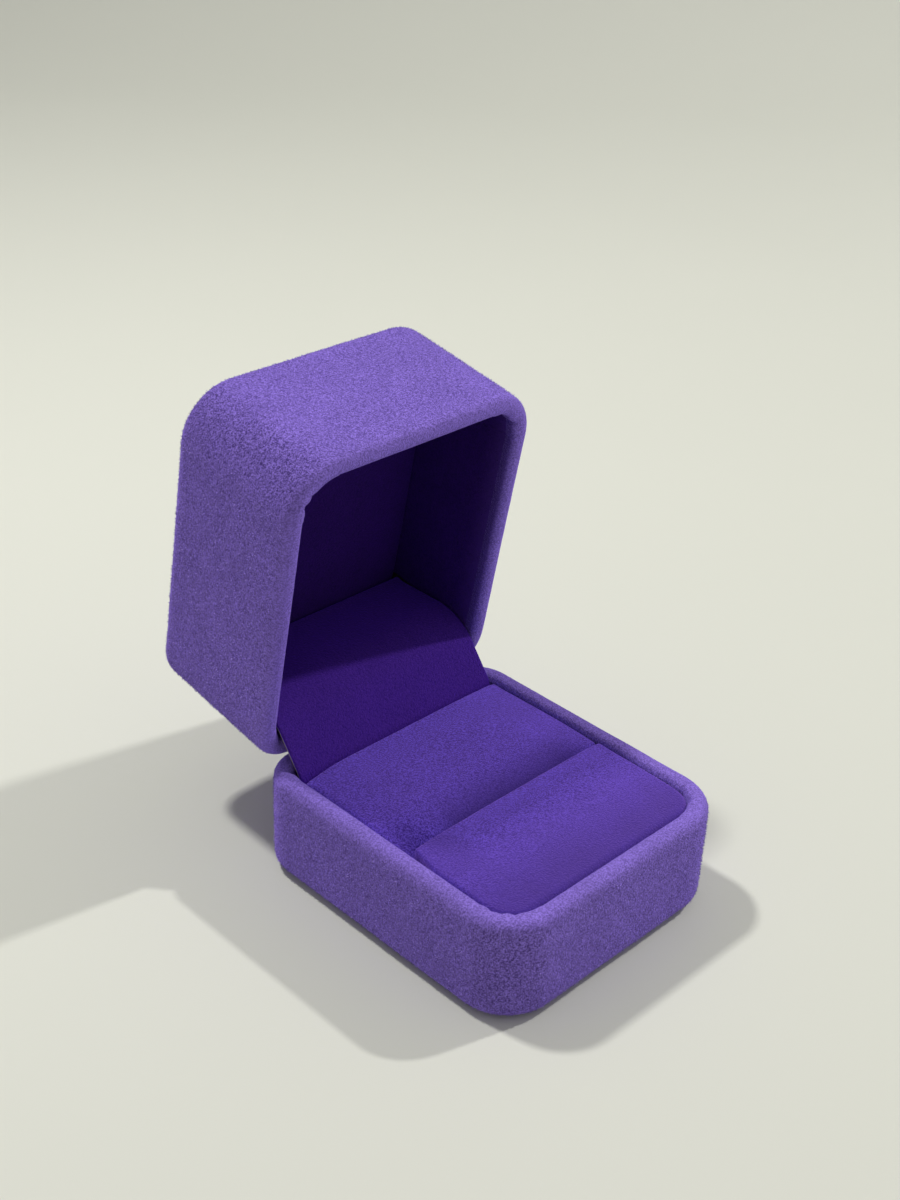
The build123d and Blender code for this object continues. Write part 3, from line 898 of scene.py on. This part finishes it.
class RINGBOX_OT_base_cover(bpy.types.Operator):
    """Draws the velvet over the base, over its rim and in under its lower edge"""
    bl_idname = "ring_box.base_cover"
    bl_label = "Base Velvet"

    def execute(self, context):
        sizes = context.scene.ring_box_covers
        cover, pile = make_cover("base_cover", sizes.base_height, sizes.base_edge, False, 3)
        for piece in (cover, pile):
            piece.data.transform(Matrix.Translation((0, 0, BASE_LOW.z)))
        place_piece(cover, "base", "cover_velvet", "base_velvet")
        place_piece(pile, "base", "cover_velvet")
        return {"FINISHED"}


class RINGBOX_OT_lid_cover(bpy.types.Operator):
    """Draws the velvet over the lid and over its rim"""
    bl_idname = "ring_box.lid_cover"
    bl_label = "Lid Velvet"

    def execute(self, context):
        sizes = context.scene.ring_box_covers
        cover, pile = make_cover("lid_cover", sizes.lid_height, sizes.lid_edge, True, 8)
        for piece in (cover, pile):
            piece.data.transform(LID_TURN)
        place_piece(cover, "lid", "cover_velvet", "lid_velvet")
        place_piece(pile, "lid", "cover_velvet")
        return {"FINISHED"}


class RINGBOX_OT_lid_lining(bpy.types.Operator):
    """Lines the lid's front and sides, from the turned-down velvet to the padded board"""
    bl_idname = "ring_box.lid_lining"
    bl_label = "Lid Lining"

    def execute(self, context):
        sizes = context.scene.ring_box_covers
        near, far = LID_HIGH.z - LINING_LOW.z, LID_HIGH.z - LINING_HIGH.z
        ends = (sizes.wall, sizes.lid_height - sizes.turn_down), (sizes.wall, far)
        points = [ends[0]] + run(*ends, sizes.spacing) + [ends[1]]
        lining = section_object("lid_lining", points, -len(points) * 3)
        sweep(lining)

        def shape(work):
            bmesh.ops.remove_doubles(work, verts=work.verts, dist=0.01 * MM)
            behind = [face for face in work.faces
                      if face.calc_center_median().y > LINING_HIGH.y]
            bmesh.ops.delete(work, geom=behind, context="FACES")
            turn_inwards(work)

        with_mesh(lining, shape)
        lay_unevenly(lining, 8)
        thicken(lining, min(sizes.velvet, near))
        lining.data.materials.clear()
        lining.data.materials.append(finish_of("lining_velvet"))
        lining.data.transform(LID_TURN)
        place_piece(lining, "lid", "lining_velvet", "lid_side_lining")
        return {"FINISHED"}


# ---------------------------------------------------------------- pads

def rounded_outline(low, high, radii, spacing):
    """Points round a rectangle, anticlockwise from the front left. radii are for the front left,
    front right, back right and back left corners. Each point has its outward direction."""
    corners = [((low.x, low.y), 180), ((high.x, low.y), 270), ((high.x, high.y), 0),
               ((low.x, high.y), 90)]
    points = []
    for (corner, start), radius in zip(corners, radii):
        centre = Vector((corner[0] + (radius if corner[0] == low.x else -radius),
                         corner[1] + (radius if corner[1] == low.y else -radius)))
        steps = max(6, round(radius * math.pi / 2 / spacing))
        for i in range(steps + 1):
            turn = math.radians(start + 90 * i / steps)
            out = Vector((math.cos(turn), math.sin(turn)))
            points.append((centre + out * radius, out))
    filled = []
    for (here, out), (there, _) in zip(points, points[1:] + points[:1]):
        filled.append((here, out))
        steps = max(1, round((there - here).length / spacing))
        filled += [(here.lerp(there, i / steps), out) for i in range(1, steps)]
    return filled


def pad_mesh(name, low, high, radii, top_at, edge_at, draw_in, spacing=0.6 * MM):
    """A padded block: rings over its top, a rolled edge, drawn-in sides and a closed underside.

    top_at gives the height of the top at a place, and edge_at the edge's radius there.
    """
    outline = rounded_outline(low, high, radii, spacing)
    middle_x, middle_y = (low.x + high.x) / 2, (low.y + high.y) / 2
    half_x, half_y = (high.x - low.x) / 2, (high.y - low.y) / 2
    line = max(half_x - half_y, 0.0), max(half_y - half_x, 0.0)
    rings = []
    side_steps, roll_steps, top_steps = 18, 9, 24

    def at(point, out, inset):
        return point - out * inset

    for step in range(side_steps + 1):
        share = step / side_steps
        ring = []
        for point, out in outline:
            radius = edge_at(point)
            top = top_at(point) - radius
            pull = draw_in * math.sin(math.pi * share) ** 2
            ring.append((*at(point, out, pull), low.z + (top - low.z) * share))
        rings.append(ring)
    for step in range(1, roll_steps + 1):
        turn = math.pi / 2 * step / roll_steps
        ring = []
        for point, out in outline:
            radius = edge_at(point)
            spot = at(point, out, radius * (1 - math.cos(turn)))
            ring.append((*spot, top_at(spot) - radius * (1 - math.sin(turn))))
        rings.append(ring)
    for step in range(1, top_steps + 1):
        ring = []
        for x, y, _ in rings[side_steps + roll_steps]:
            goal_x = min(max(x, middle_x - line[0]), middle_x + line[0])
            goal_y = min(max(y, middle_y - line[1]), middle_y + line[1])
            spot = Vector((x, y)).lerp(Vector((goal_x, goal_y)), step / top_steps)
            ring.append((*spot, top_at(spot)))
        rings.append(ring)
    count = len(outline)
    points = [spot for ring in rings for spot in ring]
    faces = [(r * count + i, r * count + (i + 1) % count,
              (r + 1) * count + (i + 1) % count, (r + 1) * count + i)
             for r in range(len(rings) - 1) for i in range(count)]
    faces.append(tuple(reversed(range(count))))
    mesh = bpy.data.meshes.new(name)
    mesh.from_pydata(points, [], faces)
    pad = link_object(name, mesh)
    return face_out(pad)


def soften(pad, finish, seed, swell=0.16 * MM):
    """Gives a pad its slight unevenness and its velvet."""
    run_tree(pad, relief_tree(), {
        "Swell": swell, "Swell Size": 10 * MM, "Ripple": 0.02 * MM, "Ripple Size": 1.7 * MM,
        "Seed": float(seed), "Material": finish_of(finish)})
    smooth(pad)
    return pad


class RINGBOX_OT_ring_pads(bpy.types.Operator):
    """Makes the two padded halves of the ring holder, with the slot between them"""
    bl_idname = "ring_box.ring_pads"
    bl_label = "Ring Pads"

    def execute(self, context):
        sizes = context.scene.ring_box_pads
        half = FRONT_HIGH.x + sizes.fill_out
        crest = REAR_LOW.y + sizes.slot_roll

        def beside(spot, sign=0):
            """From 0 in the middle to 1 at the sides, or at the side of that sign alone."""
            across = spot[0] * sign if sign else abs(spot[0])
            return ease((across - (half - 2.0 * MM)) / (1.8 * MM))

        def front_top(spot):
            towards = max(0.0, (FRONT_HIGH.y - spot[1]) / (FRONT_HIGH.y - FRONT_LOW.y))
            return FRONT_HIGH.z - sizes.crown * ((spot[0] / half) ** 4 + 1.6 * towards ** 3)

        def front_edge(spot):
            back = ease((spot[1] - (FRONT_HIGH.y - 3.2 * MM)) / (2.6 * MM)) * (1 - 0.6 * beside(spot))
            front = 1 - ease((spot[1] - FRONT_LOW.y - 2.5 * MM) / (5.0 * MM))
            plain = sizes.edge + (sizes.front_edge - sizes.edge) * front
            if spot[0] < 0:
                back = max(back, 0.8 * ease((spot[1] - FRONT_HIGH.y + 9.0 * MM) / (6.0 * MM)))
            return plain + (sizes.crisp - plain) * back

        def rear_top(spot):
            if spot[1] > crest:
                fall = sizes.back_drop * ((spot[1] - crest) / (REAR_HIGH.y - crest)) ** 2
            else:
                near = min((crest - spot[1]) / sizes.slot_roll, 1.0)
                lifted = 1 - 0.8 * ease((spot[0] - 13.0 * MM) / (10.0 * MM))
                fall = sizes.slot_dip * lifted * (1 - math.sqrt(1 - 0.96 * near ** 2))
            left = 1.8 * sizes.crown * ease((-spot[0] - 13.0 * MM) / (10.0 * MM)) ** 2
            left += 1.3 * MM * ease((-spot[0] - 15.0 * MM) / (7.0 * MM)) * ease(
                (crest - spot[1]) / sizes.slot_roll)
            return REAR_HIGH.z - fall - left - sizes.crown * (spot[0] / half) ** 4

        def rear_edge(spot):
            back = ease((spot[1] - (REAR_HIGH.y - 3.2 * MM)) / (2.6 * MM))
            slot = ease((REAR_LOW.y + 3.0 * MM - spot[1]) / (2.6 * MM))
            plain = sizes.edge * (1 + 0.9 * beside(spot, -1))
            return plain + (sizes.crisp - plain) * max(back, slot) * (1 - 0.5 * beside(spot))

        # Painted shade on the front pad: deeper from where the back lamp's light falls past the lid
        # towards its front, and at its left end by the slot.
        def front_painted_shade(spot):
            behind = FRONT_HIGH.y - spot[1]
            left = ease((-12.5 * MM - spot[0]) / (5.0 * MM))
            left *= 1 - ease((behind - 5.0 * MM) / (7.0 * MM))
            return (0.40 * ease((behind - 5.2 * MM) / (4.5 * MM)) + 0.55 * left
                    + 0.45 * ease((behind - 8.0 * MM) / (14.0 * MM)))

        # Painted shade on the rear pad: deeper on its roll down to the slot, less so at its left end.
        def rear_painted_shade(spot):
            ends = ease((spot[0] + 17.0 * MM) / (8.0 * MM)) * ease((24.0 * MM - spot[0]) / (8.0 * MM))
            near = ease((REAR_LOW.y + 8.5 * MM - spot[1]) / (6.5 * MM))
            left = ease((-17.5 * MM - spot[0]) / (3.0 * MM))
            nearest = ease((REAR_LOW.y + 3.0 * MM - spot[1]) / (3.0 * MM))
            return (0.64 * ends + 0.3 * left) * near + 0.26 * ends * nearest

        # Painted sheen on the front pad's back edge, at the slot.
        def front_painted_sheen(spot):
            return 0.4 * ease((spot[1] - FRONT_HIGH.y + 5.5 * MM) / (4.0 * MM))

        # Painted sheen on the rear pad's right side, growing away from the slot.
        def rear_painted_sheen(spot):
            right = ease((spot[0] - 8.0 * MM) / (10.0 * MM))
            return 0.5 * right * ease((spot[1] - REAR_LOW.y) / (9.0 * MM))

        out = Vector((sizes.fill_out, 0, 0))
        rounds = (sizes.corner, sizes.corner, sizes.small_corner, sizes.small_corner)
        for name, low, high, radii, top, edge, seed in (
                ("front_pad", FRONT_LOW, FRONT_HIGH, rounds, front_top, front_edge, 5),
                ("rear_pad", REAR_LOW, REAR_HIGH, (sizes.small_corner,) * 4, rear_top,
                 rear_edge, 11)):
            pad = pad_mesh(name, low - out, high + out, radii, top, edge, sizes.draw_in)
            if name == "front_pad":
                for vertex in pad.data.vertices:
                    near = ease((vertex.co.y - FRONT_HIGH.y + 8.0 * MM) / (8.0 * MM))
                    vertex.co.x += sizes.stand_in * near * ease(-vertex.co.x / half)
            marks = (("painted_light_and_shade", front_painted_shade), ("pressed_pile_and_painted_sheen", front_painted_sheen))
            if name == "rear_pad":
                marks = (("painted_light_and_shade", rear_painted_shade), ("pressed_pile_and_painted_sheen", rear_painted_sheen))
            for key, level in marks:
                mark = pad.data.attributes.new(key, "FLOAT", "POINT")
                mark.data.foreach_set("value", [level(v.co) for v in pad.data.vertices])
            soften(pad, "pad_velvet", seed)
            place_piece(pad, "base", "pad_velvet", f"{name}_velvet", f"{name}_foam")
        return {"FINISHED"}


class RINGBOX_OT_lid_pad(bpy.types.Operator):
    """Makes the padded board in the lid's closed end"""
    bl_idname = "ring_box.lid_pad"
    bl_label = "Lid Pad"

    def execute(self, context):
        sizes = context.scene.ring_box_pads
        covers = context.scene.ring_box_covers
        low = Vector((LID_PAD_LOW.x, LID_PAD_LOW.y, 0.0))
        high = Vector((LID_PAD_HIGH.x, LID_PAD_HIGH.y, LID_PAD_HIGH.z - LID_PAD_LOW.z))
        inset = high.x - covers.width / 2
        front, back = covers.front_corner + inset, covers.back_corner + inset

        def top(spot):
            across = (spot[0] / high.x) ** 2
            along = (spot[1] / high.y) ** 2
            return high.z - 0.45 * MM * (across ** 2 + along ** 2)

        pad = pad_mesh("lid_pad", low, high, (front, front, back, back), top,
                       lambda spot: sizes.lid_edge, 0.1 * MM)
        lower = Matrix.Translation((0, 0, LID_HIGH.z - LID_PAD_HIGH.z))
        soften(pad, "lining_velvet", 17)
        pad.data.transform(LID_TURN @ lower)
        place_piece(pad, "lid", "lining_velvet", "lid_pad_velvet", "lid_pad_foam")
        return {"FINISHED"}


# ---------------------------------------------------------------- flap

def flap_path(sizes):
    """The flap's upper side as points in Y and Z, from its tucked end to the lid's lining."""
    knee = Vector((FLAP_LOW.y, FLAP_LOW.z + sizes.tuck))
    ridge = FLAP_HIGH.z
    turn = Vector((knee.x + (ridge - knee.y) / math.tan(sizes.slope), ridge))
    end = Vector((FLAP_HIGH.y, ridge))
    corners = [Vector((knee.x, FLAP_LOW.z)), knee, turn, end]
    points = [corners[0]]
    for before, corner, after, radius in (
            (corners[0], knee, turn, sizes.lower_bend), (knee, turn, end, sizes.upper_bend)):
        into, out = (corner - before).normalized(), (after - corner).normalized()
        bend = into.angle(out)
        cut = radius * math.tan(bend / 2)
        start = corner - into * cut
        points += run(points[-1], start, 0.6 * MM)
        side = -1 if into.x * out.y - into.y * out.x < 0 else 1
        normal = Vector((-into.y, into.x)) * side
        centre = start + normal * radius
        steps = max(8, round(radius * bend / (0.5 * MM)))
        for i in range(steps + 1):
            turned = Matrix.Rotation(side * bend * i / steps, 2)
            points.append(centre + turned @ (start - centre))
    points += run(points[-1], end, 0.6 * MM) + [end]
    return [Vector(point) for point in points]


def flap_layer(name, path, near, far, half, finish, ruffle):
    """One layer of the flap between two depths under its upper side, as a closed mesh."""
    across = 72
    columns = [-half + 2 * half * i / across for i in range(across + 1)]
    normals = []
    for i, point in enumerate(path):
        ahead = path[min(i + 1, len(path) - 1)] - path[max(i - 1, 0)]
        normals.append(Vector((ahead.y, -ahead.x)).normalized())
    points, faces = [], []
    for depth in (near, far):
        for i, (point, normal) in enumerate(zip(path, normals)):
            along = i / (len(path) - 1)
            for x in columns:
                spot = point + normal * (depth + ruffle(x, along))
                points.append((x, spot.x, spot.y))
    wide = len(columns)
    sheet = wide * len(path)
    for i in range(len(path) - 1):
        for j in range(across):
            a = i * wide + j
            faces.append((a, a + 1, a + wide + 1, a + wide))
            faces.append((sheet + a, sheet + a + wide, sheet + a + wide + 1, sheet + a + 1))
    ring = list(range(wide)) + [i * wide + wide - 1 for i in range(1, len(path))]
    ring += [sheet - 1 - j for j in range(1, wide)]
    ring += [i * wide for i in range(len(path) - 2, 0, -1)]
    for a, b in zip(ring, ring[1:] + ring[:1]):
        faces.append((b, a, a + sheet, b + sheet))
    mesh = bpy.data.meshes.new(name)
    mesh.from_pydata(points, [], faces)
    layer = link_object(name, mesh)
    mesh.materials.append(finish_of(finish))
    return face_out(layer)


class RINGBOX_OT_flap(bpy.types.Operator):
    """Makes the velvet-covered card that hides the hinge"""
    bl_idname = "ring_box.flap"
    bl_label = "Hinge Flap"

    def execute(self, context):
        sizes = context.scene.ring_box_flap
        path = flap_path(sizes)
        half = FLAP_HIGH.x

        def ruffle(x, along):
            far_end = ease((along - 0.8) / 0.2)
            sag = 0.25 * MM * math.sin(math.pi * (x / half + 1) / 2) * ease(along * 4) * (1 - far_end)
            return sag - 0.4 * MM * ease((along - 0.955) / 0.045)

        over = flap_layer("flap_cloth", path, 0.0, sizes.velvet, half, "flap_velvet", ruffle)
        under = flap_layer("flap_board", path, sizes.velvet + 0.02 * MM,
                           sizes.velvet + sizes.card, half - 0.25 * MM, "plain_card", ruffle)
        rounded = over.modifiers.new("Cut Edge", "BEVEL")
        rounded.width = 0.22 * MM
        rounded.segments = 3
        rounded.limit_method = "ANGLE"
        rounded.angle_limit = math.radians(50)
        settle(over)
        for layer, node in ((over, "flap_velvet"), (under, "flap_card")):
            smooth(layer)
            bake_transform(layer)
            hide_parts(node)
        return {"FINISHED"}


# ---------------------------------------------------------------- hinge, shells and cards

class RINGBOX_OT_fittings(bpy.types.Operator):
    """Finishes the hinge, the shells, the cards and the lid's side lining"""
    bl_idname = "ring_box.fittings"
    bl_label = "Fittings"

    def execute(self, context):
        for node, finish in (
                ("base_shell", "shell_plastic"), ("lid_shell", "shell_plastic"),
                ("base_underside_card", "underside_card"), ("pad_tray_card", "plain_card"),
                ("front_pad_board", "plain_card"), ("rear_pad_board", "plain_card"),
                ("lid_pad_board", "plain_card"), ("lid_side_lining", "lining_velvet"),
                ("hinge_base_leaf", "hinge_steel"), ("hinge_lid_leaf", "hinge_steel"),
                ("hinge_pin", "hinge_steel"), ("hinge_spring", "spring_steel"),
                ("hinge_base_rivets", "rivet_brass"), ("hinge_lid_rivets", "rivet_brass"),
                ("base_velvet", "cover_velvet"), ("lid_velvet", "cover_velvet"),
                ("front_pad_velvet", "pad_velvet"), ("rear_pad_velvet", "pad_velvet"),
                ("front_pad_foam", "pad_foam"), ("rear_pad_foam", "pad_foam"),
                ("lid_pad_foam", "pad_foam"), ("lid_pad_velvet", "lining_velvet"),
                ("flap_velvet", "flap_velvet"), ("flap_card", "plain_card")):
            paint_node(node, finish)
        return {"FINISHED"}


class RINGBOX_OT_rivets(bpy.types.Operator):
    """Sets the domed rivets of both hinge leaves"""
    bl_idname = "ring_box.rivets"
    bl_label = "Rivets"

    def execute(self, context):
        tree = rivet_tree()
        for name, node, body, turn in (
                ("base_rivets", "hinge_base_rivets", "base", Matrix.Identity(4)),
                ("lid_rivets", "hinge_lid_rivets", "lid", TO_SHUT)):
            mesh = frame["nodes"][node].data
            work = bmesh.new()
            work.from_mesh(mesh)
            work.transform(turn)
            bmesh.ops.remove_doubles(work, verts=work.verts, dist=0.001 * MM)
            places = []
            left = set(work.verts)
            while left:
                island, front = set(), [left.pop()]
                while front:
                    vertex = front.pop()
                    island.add(vertex)
                    near = [edge.other_vert(vertex) for edge in vertex.link_edges]
                    front += [other for other in near if other in left]
                    left.difference_update(near)
                low = min(v.co.y for v in island)
                high = max(v.co.y for v in island)
                x = (min(v.co.x for v in island) + max(v.co.x for v in island)) / 2
                z = (min(v.co.z for v in island) + max(v.co.z for v in island)) / 2
                radius = (max(v.co.x for v in island) - min(v.co.x for v in island)) / 2
                places.append((x, low, z, high, radius))
            work.free()
            head = 0.4 * MM
            points = bpy.data.meshes.new(name)
            points.from_pydata([(x, low + head, z) for x, low, z, _, _ in sorted(places)], [], [])
            rivets = link_object(name, points)
            reach = min(high - low for _, low, _, high, _ in places) - head
            run_tree(rivets, tree, {
                "Head Radius": places[0][4], "Head Height": head, "Shank Radius": 0.7 * MM,
                "Shank Length": reach, "Material": finish_of("rivet_brass")})
            face_out(rivets)
            smooth(rivets)
            rivets.data.transform(turn.inverted())
            place_piece(rivets, body, "rivet_brass", node)
        return {"FINISHED"}


# ---------------------------------------------------------------- stage

def aim(obj, place, target):
    """Puts an object somewhere and turns it to look at a point."""
    obj.location = place
    obj.rotation_euler = (Vector(target) - Vector(place)).to_track_quat("-Z", "Y").to_euler()


def add_lamp(name, place, size, power, tint):
    """A square lamp at that place, turned to the box."""
    lamp = bpy.data.lights.new(name, "AREA")
    lamp.size = size
    lamp.energy = power
    lamp.color = tint
    holder = bpy.data.objects.new(name, lamp)
    bpy.context.scene.collection.objects.link(holder)
    aim(holder, place, (0, 0.01, 0.03))


class RINGBOX_OT_stage(bpy.types.Operator):
    """Adds the floor with its swept-up backdrop, the lamps and the camera"""
    bl_idname = "ring_box.stage"
    bl_label = "Stage"

    def execute(self, context):
        scene = context.scene
        sizes = scene.ring_box_stage
        half = sizes.size / 2
        sweep_from, radius, steps = 0.55, 0.5, 24
        profile = [(-half, 0.0), (sweep_from, 0.0)]
        profile += [(sweep_from + radius * math.sin(math.pi / 2 * i / steps),
                     radius * (1 - math.cos(math.pi / 2 * i / steps))) for i in range(1, steps + 1)]
        profile.append((sweep_from + radius, half))
        away = Matrix.Rotation(math.radians(-45.7), 4, "Z")
        points = [away @ Vector((x, y, z)) for y, z in profile for x in (-half, half)]
        faces = [(2 * i, 2 * i + 1, 2 * i + 3, 2 * i + 2) for i in range(len(profile) - 1)]
        mesh = bpy.data.meshes.new("floor")
        mesh.from_pydata(points, [], faces)
        floor = link_object("floor", mesh)
        smooth(floor)
        shade = Shade("floor")
        cloud = shade.noise(0.25, detail=3.0)
        tone = tuple(sizes.floor)
        paler = tuple(min(1.0, 1.02 * part) for part in tone)
        shade.link("Base Color", shade.mix(shade.ramp(cloud, 0.3, 0.7), tone, paler))
        shade.set(Roughness=0.75, Specular_IOR_Level=0.2)
        mesh.materials.append(shade.material)

        world = bpy.data.worlds.new("sky")
        world.use_nodes = True
        scene.world = world
        nodes, links = world.node_tree.nodes, world.node_tree.links
        sky = nodes["Background"]
        sky.inputs["Color"].default_value = (1.0, 0.99, 0.97, 1)
        towards = nodes.new("ShaderNodeVectorMath")
        towards.operation = "DOT_PRODUCT"
        towards.inputs[1].default_value = (0.62, -0.62, 0.48)
        links.new(nodes.new("ShaderNodeTexCoord").outputs["Generated"], towards.inputs[0])
        level = nodes.new("ShaderNodeMapRange")
        level.inputs["From Min"].default_value = -1.0
        level.inputs["To Min"].default_value = 0.8 * sizes.sky
        level.inputs["To Max"].default_value = 1.2 * sizes.sky
        links.new(towards.outputs["Value"], level.inputs["Value"])
        links.new(level.outputs["Result"], sky.inputs["Strength"])
        warm = (1.0, 0.985, 0.95)
        add_lamp("key_lamp", (0.85, -0.29, 0.975), 0.045, sizes.key_power, warm)
        add_lamp("back_lamp", (-0.088, 0.27, 0.56), 0.045, sizes.back_power, warm)

        camera = bpy.data.cameras.new("camera")
        camera.lens = sizes.lens
        camera.clip_start = 0.01
        holder = bpy.data.objects.new("camera", camera)
        scene.collection.objects.link(holder)
        azimuth, elevation, roll = -0.797, 0.527, 0.042
        back = Vector((math.sin(azimuth) * math.cos(elevation),
                       -math.cos(azimuth) * math.cos(elevation), math.sin(elevation)))
        right = (-back).cross(Vector((0, 0, 1))).normalized()
        up = right.cross(-back)
        level = Matrix((right, up, back)).transposed()
        turned = level @ Matrix.Rotation(roll, 3, "Z")
        holder.matrix_world = Matrix.Translation((-0.17474, -0.15858, 0.19364)) @ turned.to_4x4()
        scene.camera = holder
        scene.view_settings.view_transform = "Standard"
        return {"FINISHED"}


# ---------------------------------------------------------------- add-on

class RINGBOX_PT_panel(bpy.types.Panel):
    """Lists the pieces of the ring box"""
    bl_idname = "RINGBOX_PT_panel"
    bl_label = "Ring Box"
    bl_space_type = "VIEW_3D"
    bl_region_type = "UI"
    bl_category = "Ring Box"

    def draw(self, context):
        for name, group in GROUPS.items():
            column = self.layout.column(align=True)
            for key in group.__annotations__:
                column.prop(getattr(context.scene, name), key)
        for operator in OPERATORS:
            self.layout.operator(operator.bl_idname)


GROUPS = {
    "ring_box_covers": CoverSizes, "ring_box_pads": PadSizes, "ring_box_pile": PileSizes,
    "ring_box_flap": FlapSizes, "ring_box_finishes": Finishes, "ring_box_stage": StageSizes,
}
OPERATORS = (RINGBOX_OT_stage, RINGBOX_OT_fittings, RINGBOX_OT_rivets, RINGBOX_OT_base_cover,
             RINGBOX_OT_lid_cover, RINGBOX_OT_lid_lining, RINGBOX_OT_ring_pads,
             RINGBOX_OT_lid_pad, RINGBOX_OT_flap)


def register():
    """Registers the sizes, the operators and the panel."""
    for key, group in GROUPS.items():
        bpy.utils.register_class(group)
        setattr(bpy.types.Scene, key, bpy.props.PointerProperty(type=group))
    for operator in OPERATORS:
        bpy.utils.register_class(operator)
    bpy.utils.register_class(RINGBOX_PT_panel)


def unregister():
    """Takes back what register added."""
    bpy.utils.unregister_class(RINGBOX_PT_panel)
    for operator in reversed(OPERATORS):
        bpy.utils.unregister_class(operator)
    for key, group in GROUPS.items():
        delattr(bpy.types.Scene, key)
        bpy.utils.unregister_class(group)


def main():
    """Builds the whole box."""
    register()
    for operator in OPERATORS:
        family, name = operator.bl_idname.split(".")
        result = getattr(getattr(bpy.ops, family), name)()
        if result != {"FINISHED"}:
            raise RuntimeError(f"{operator.bl_idname} did not finish")


if __name__ == "__main__":
    main()
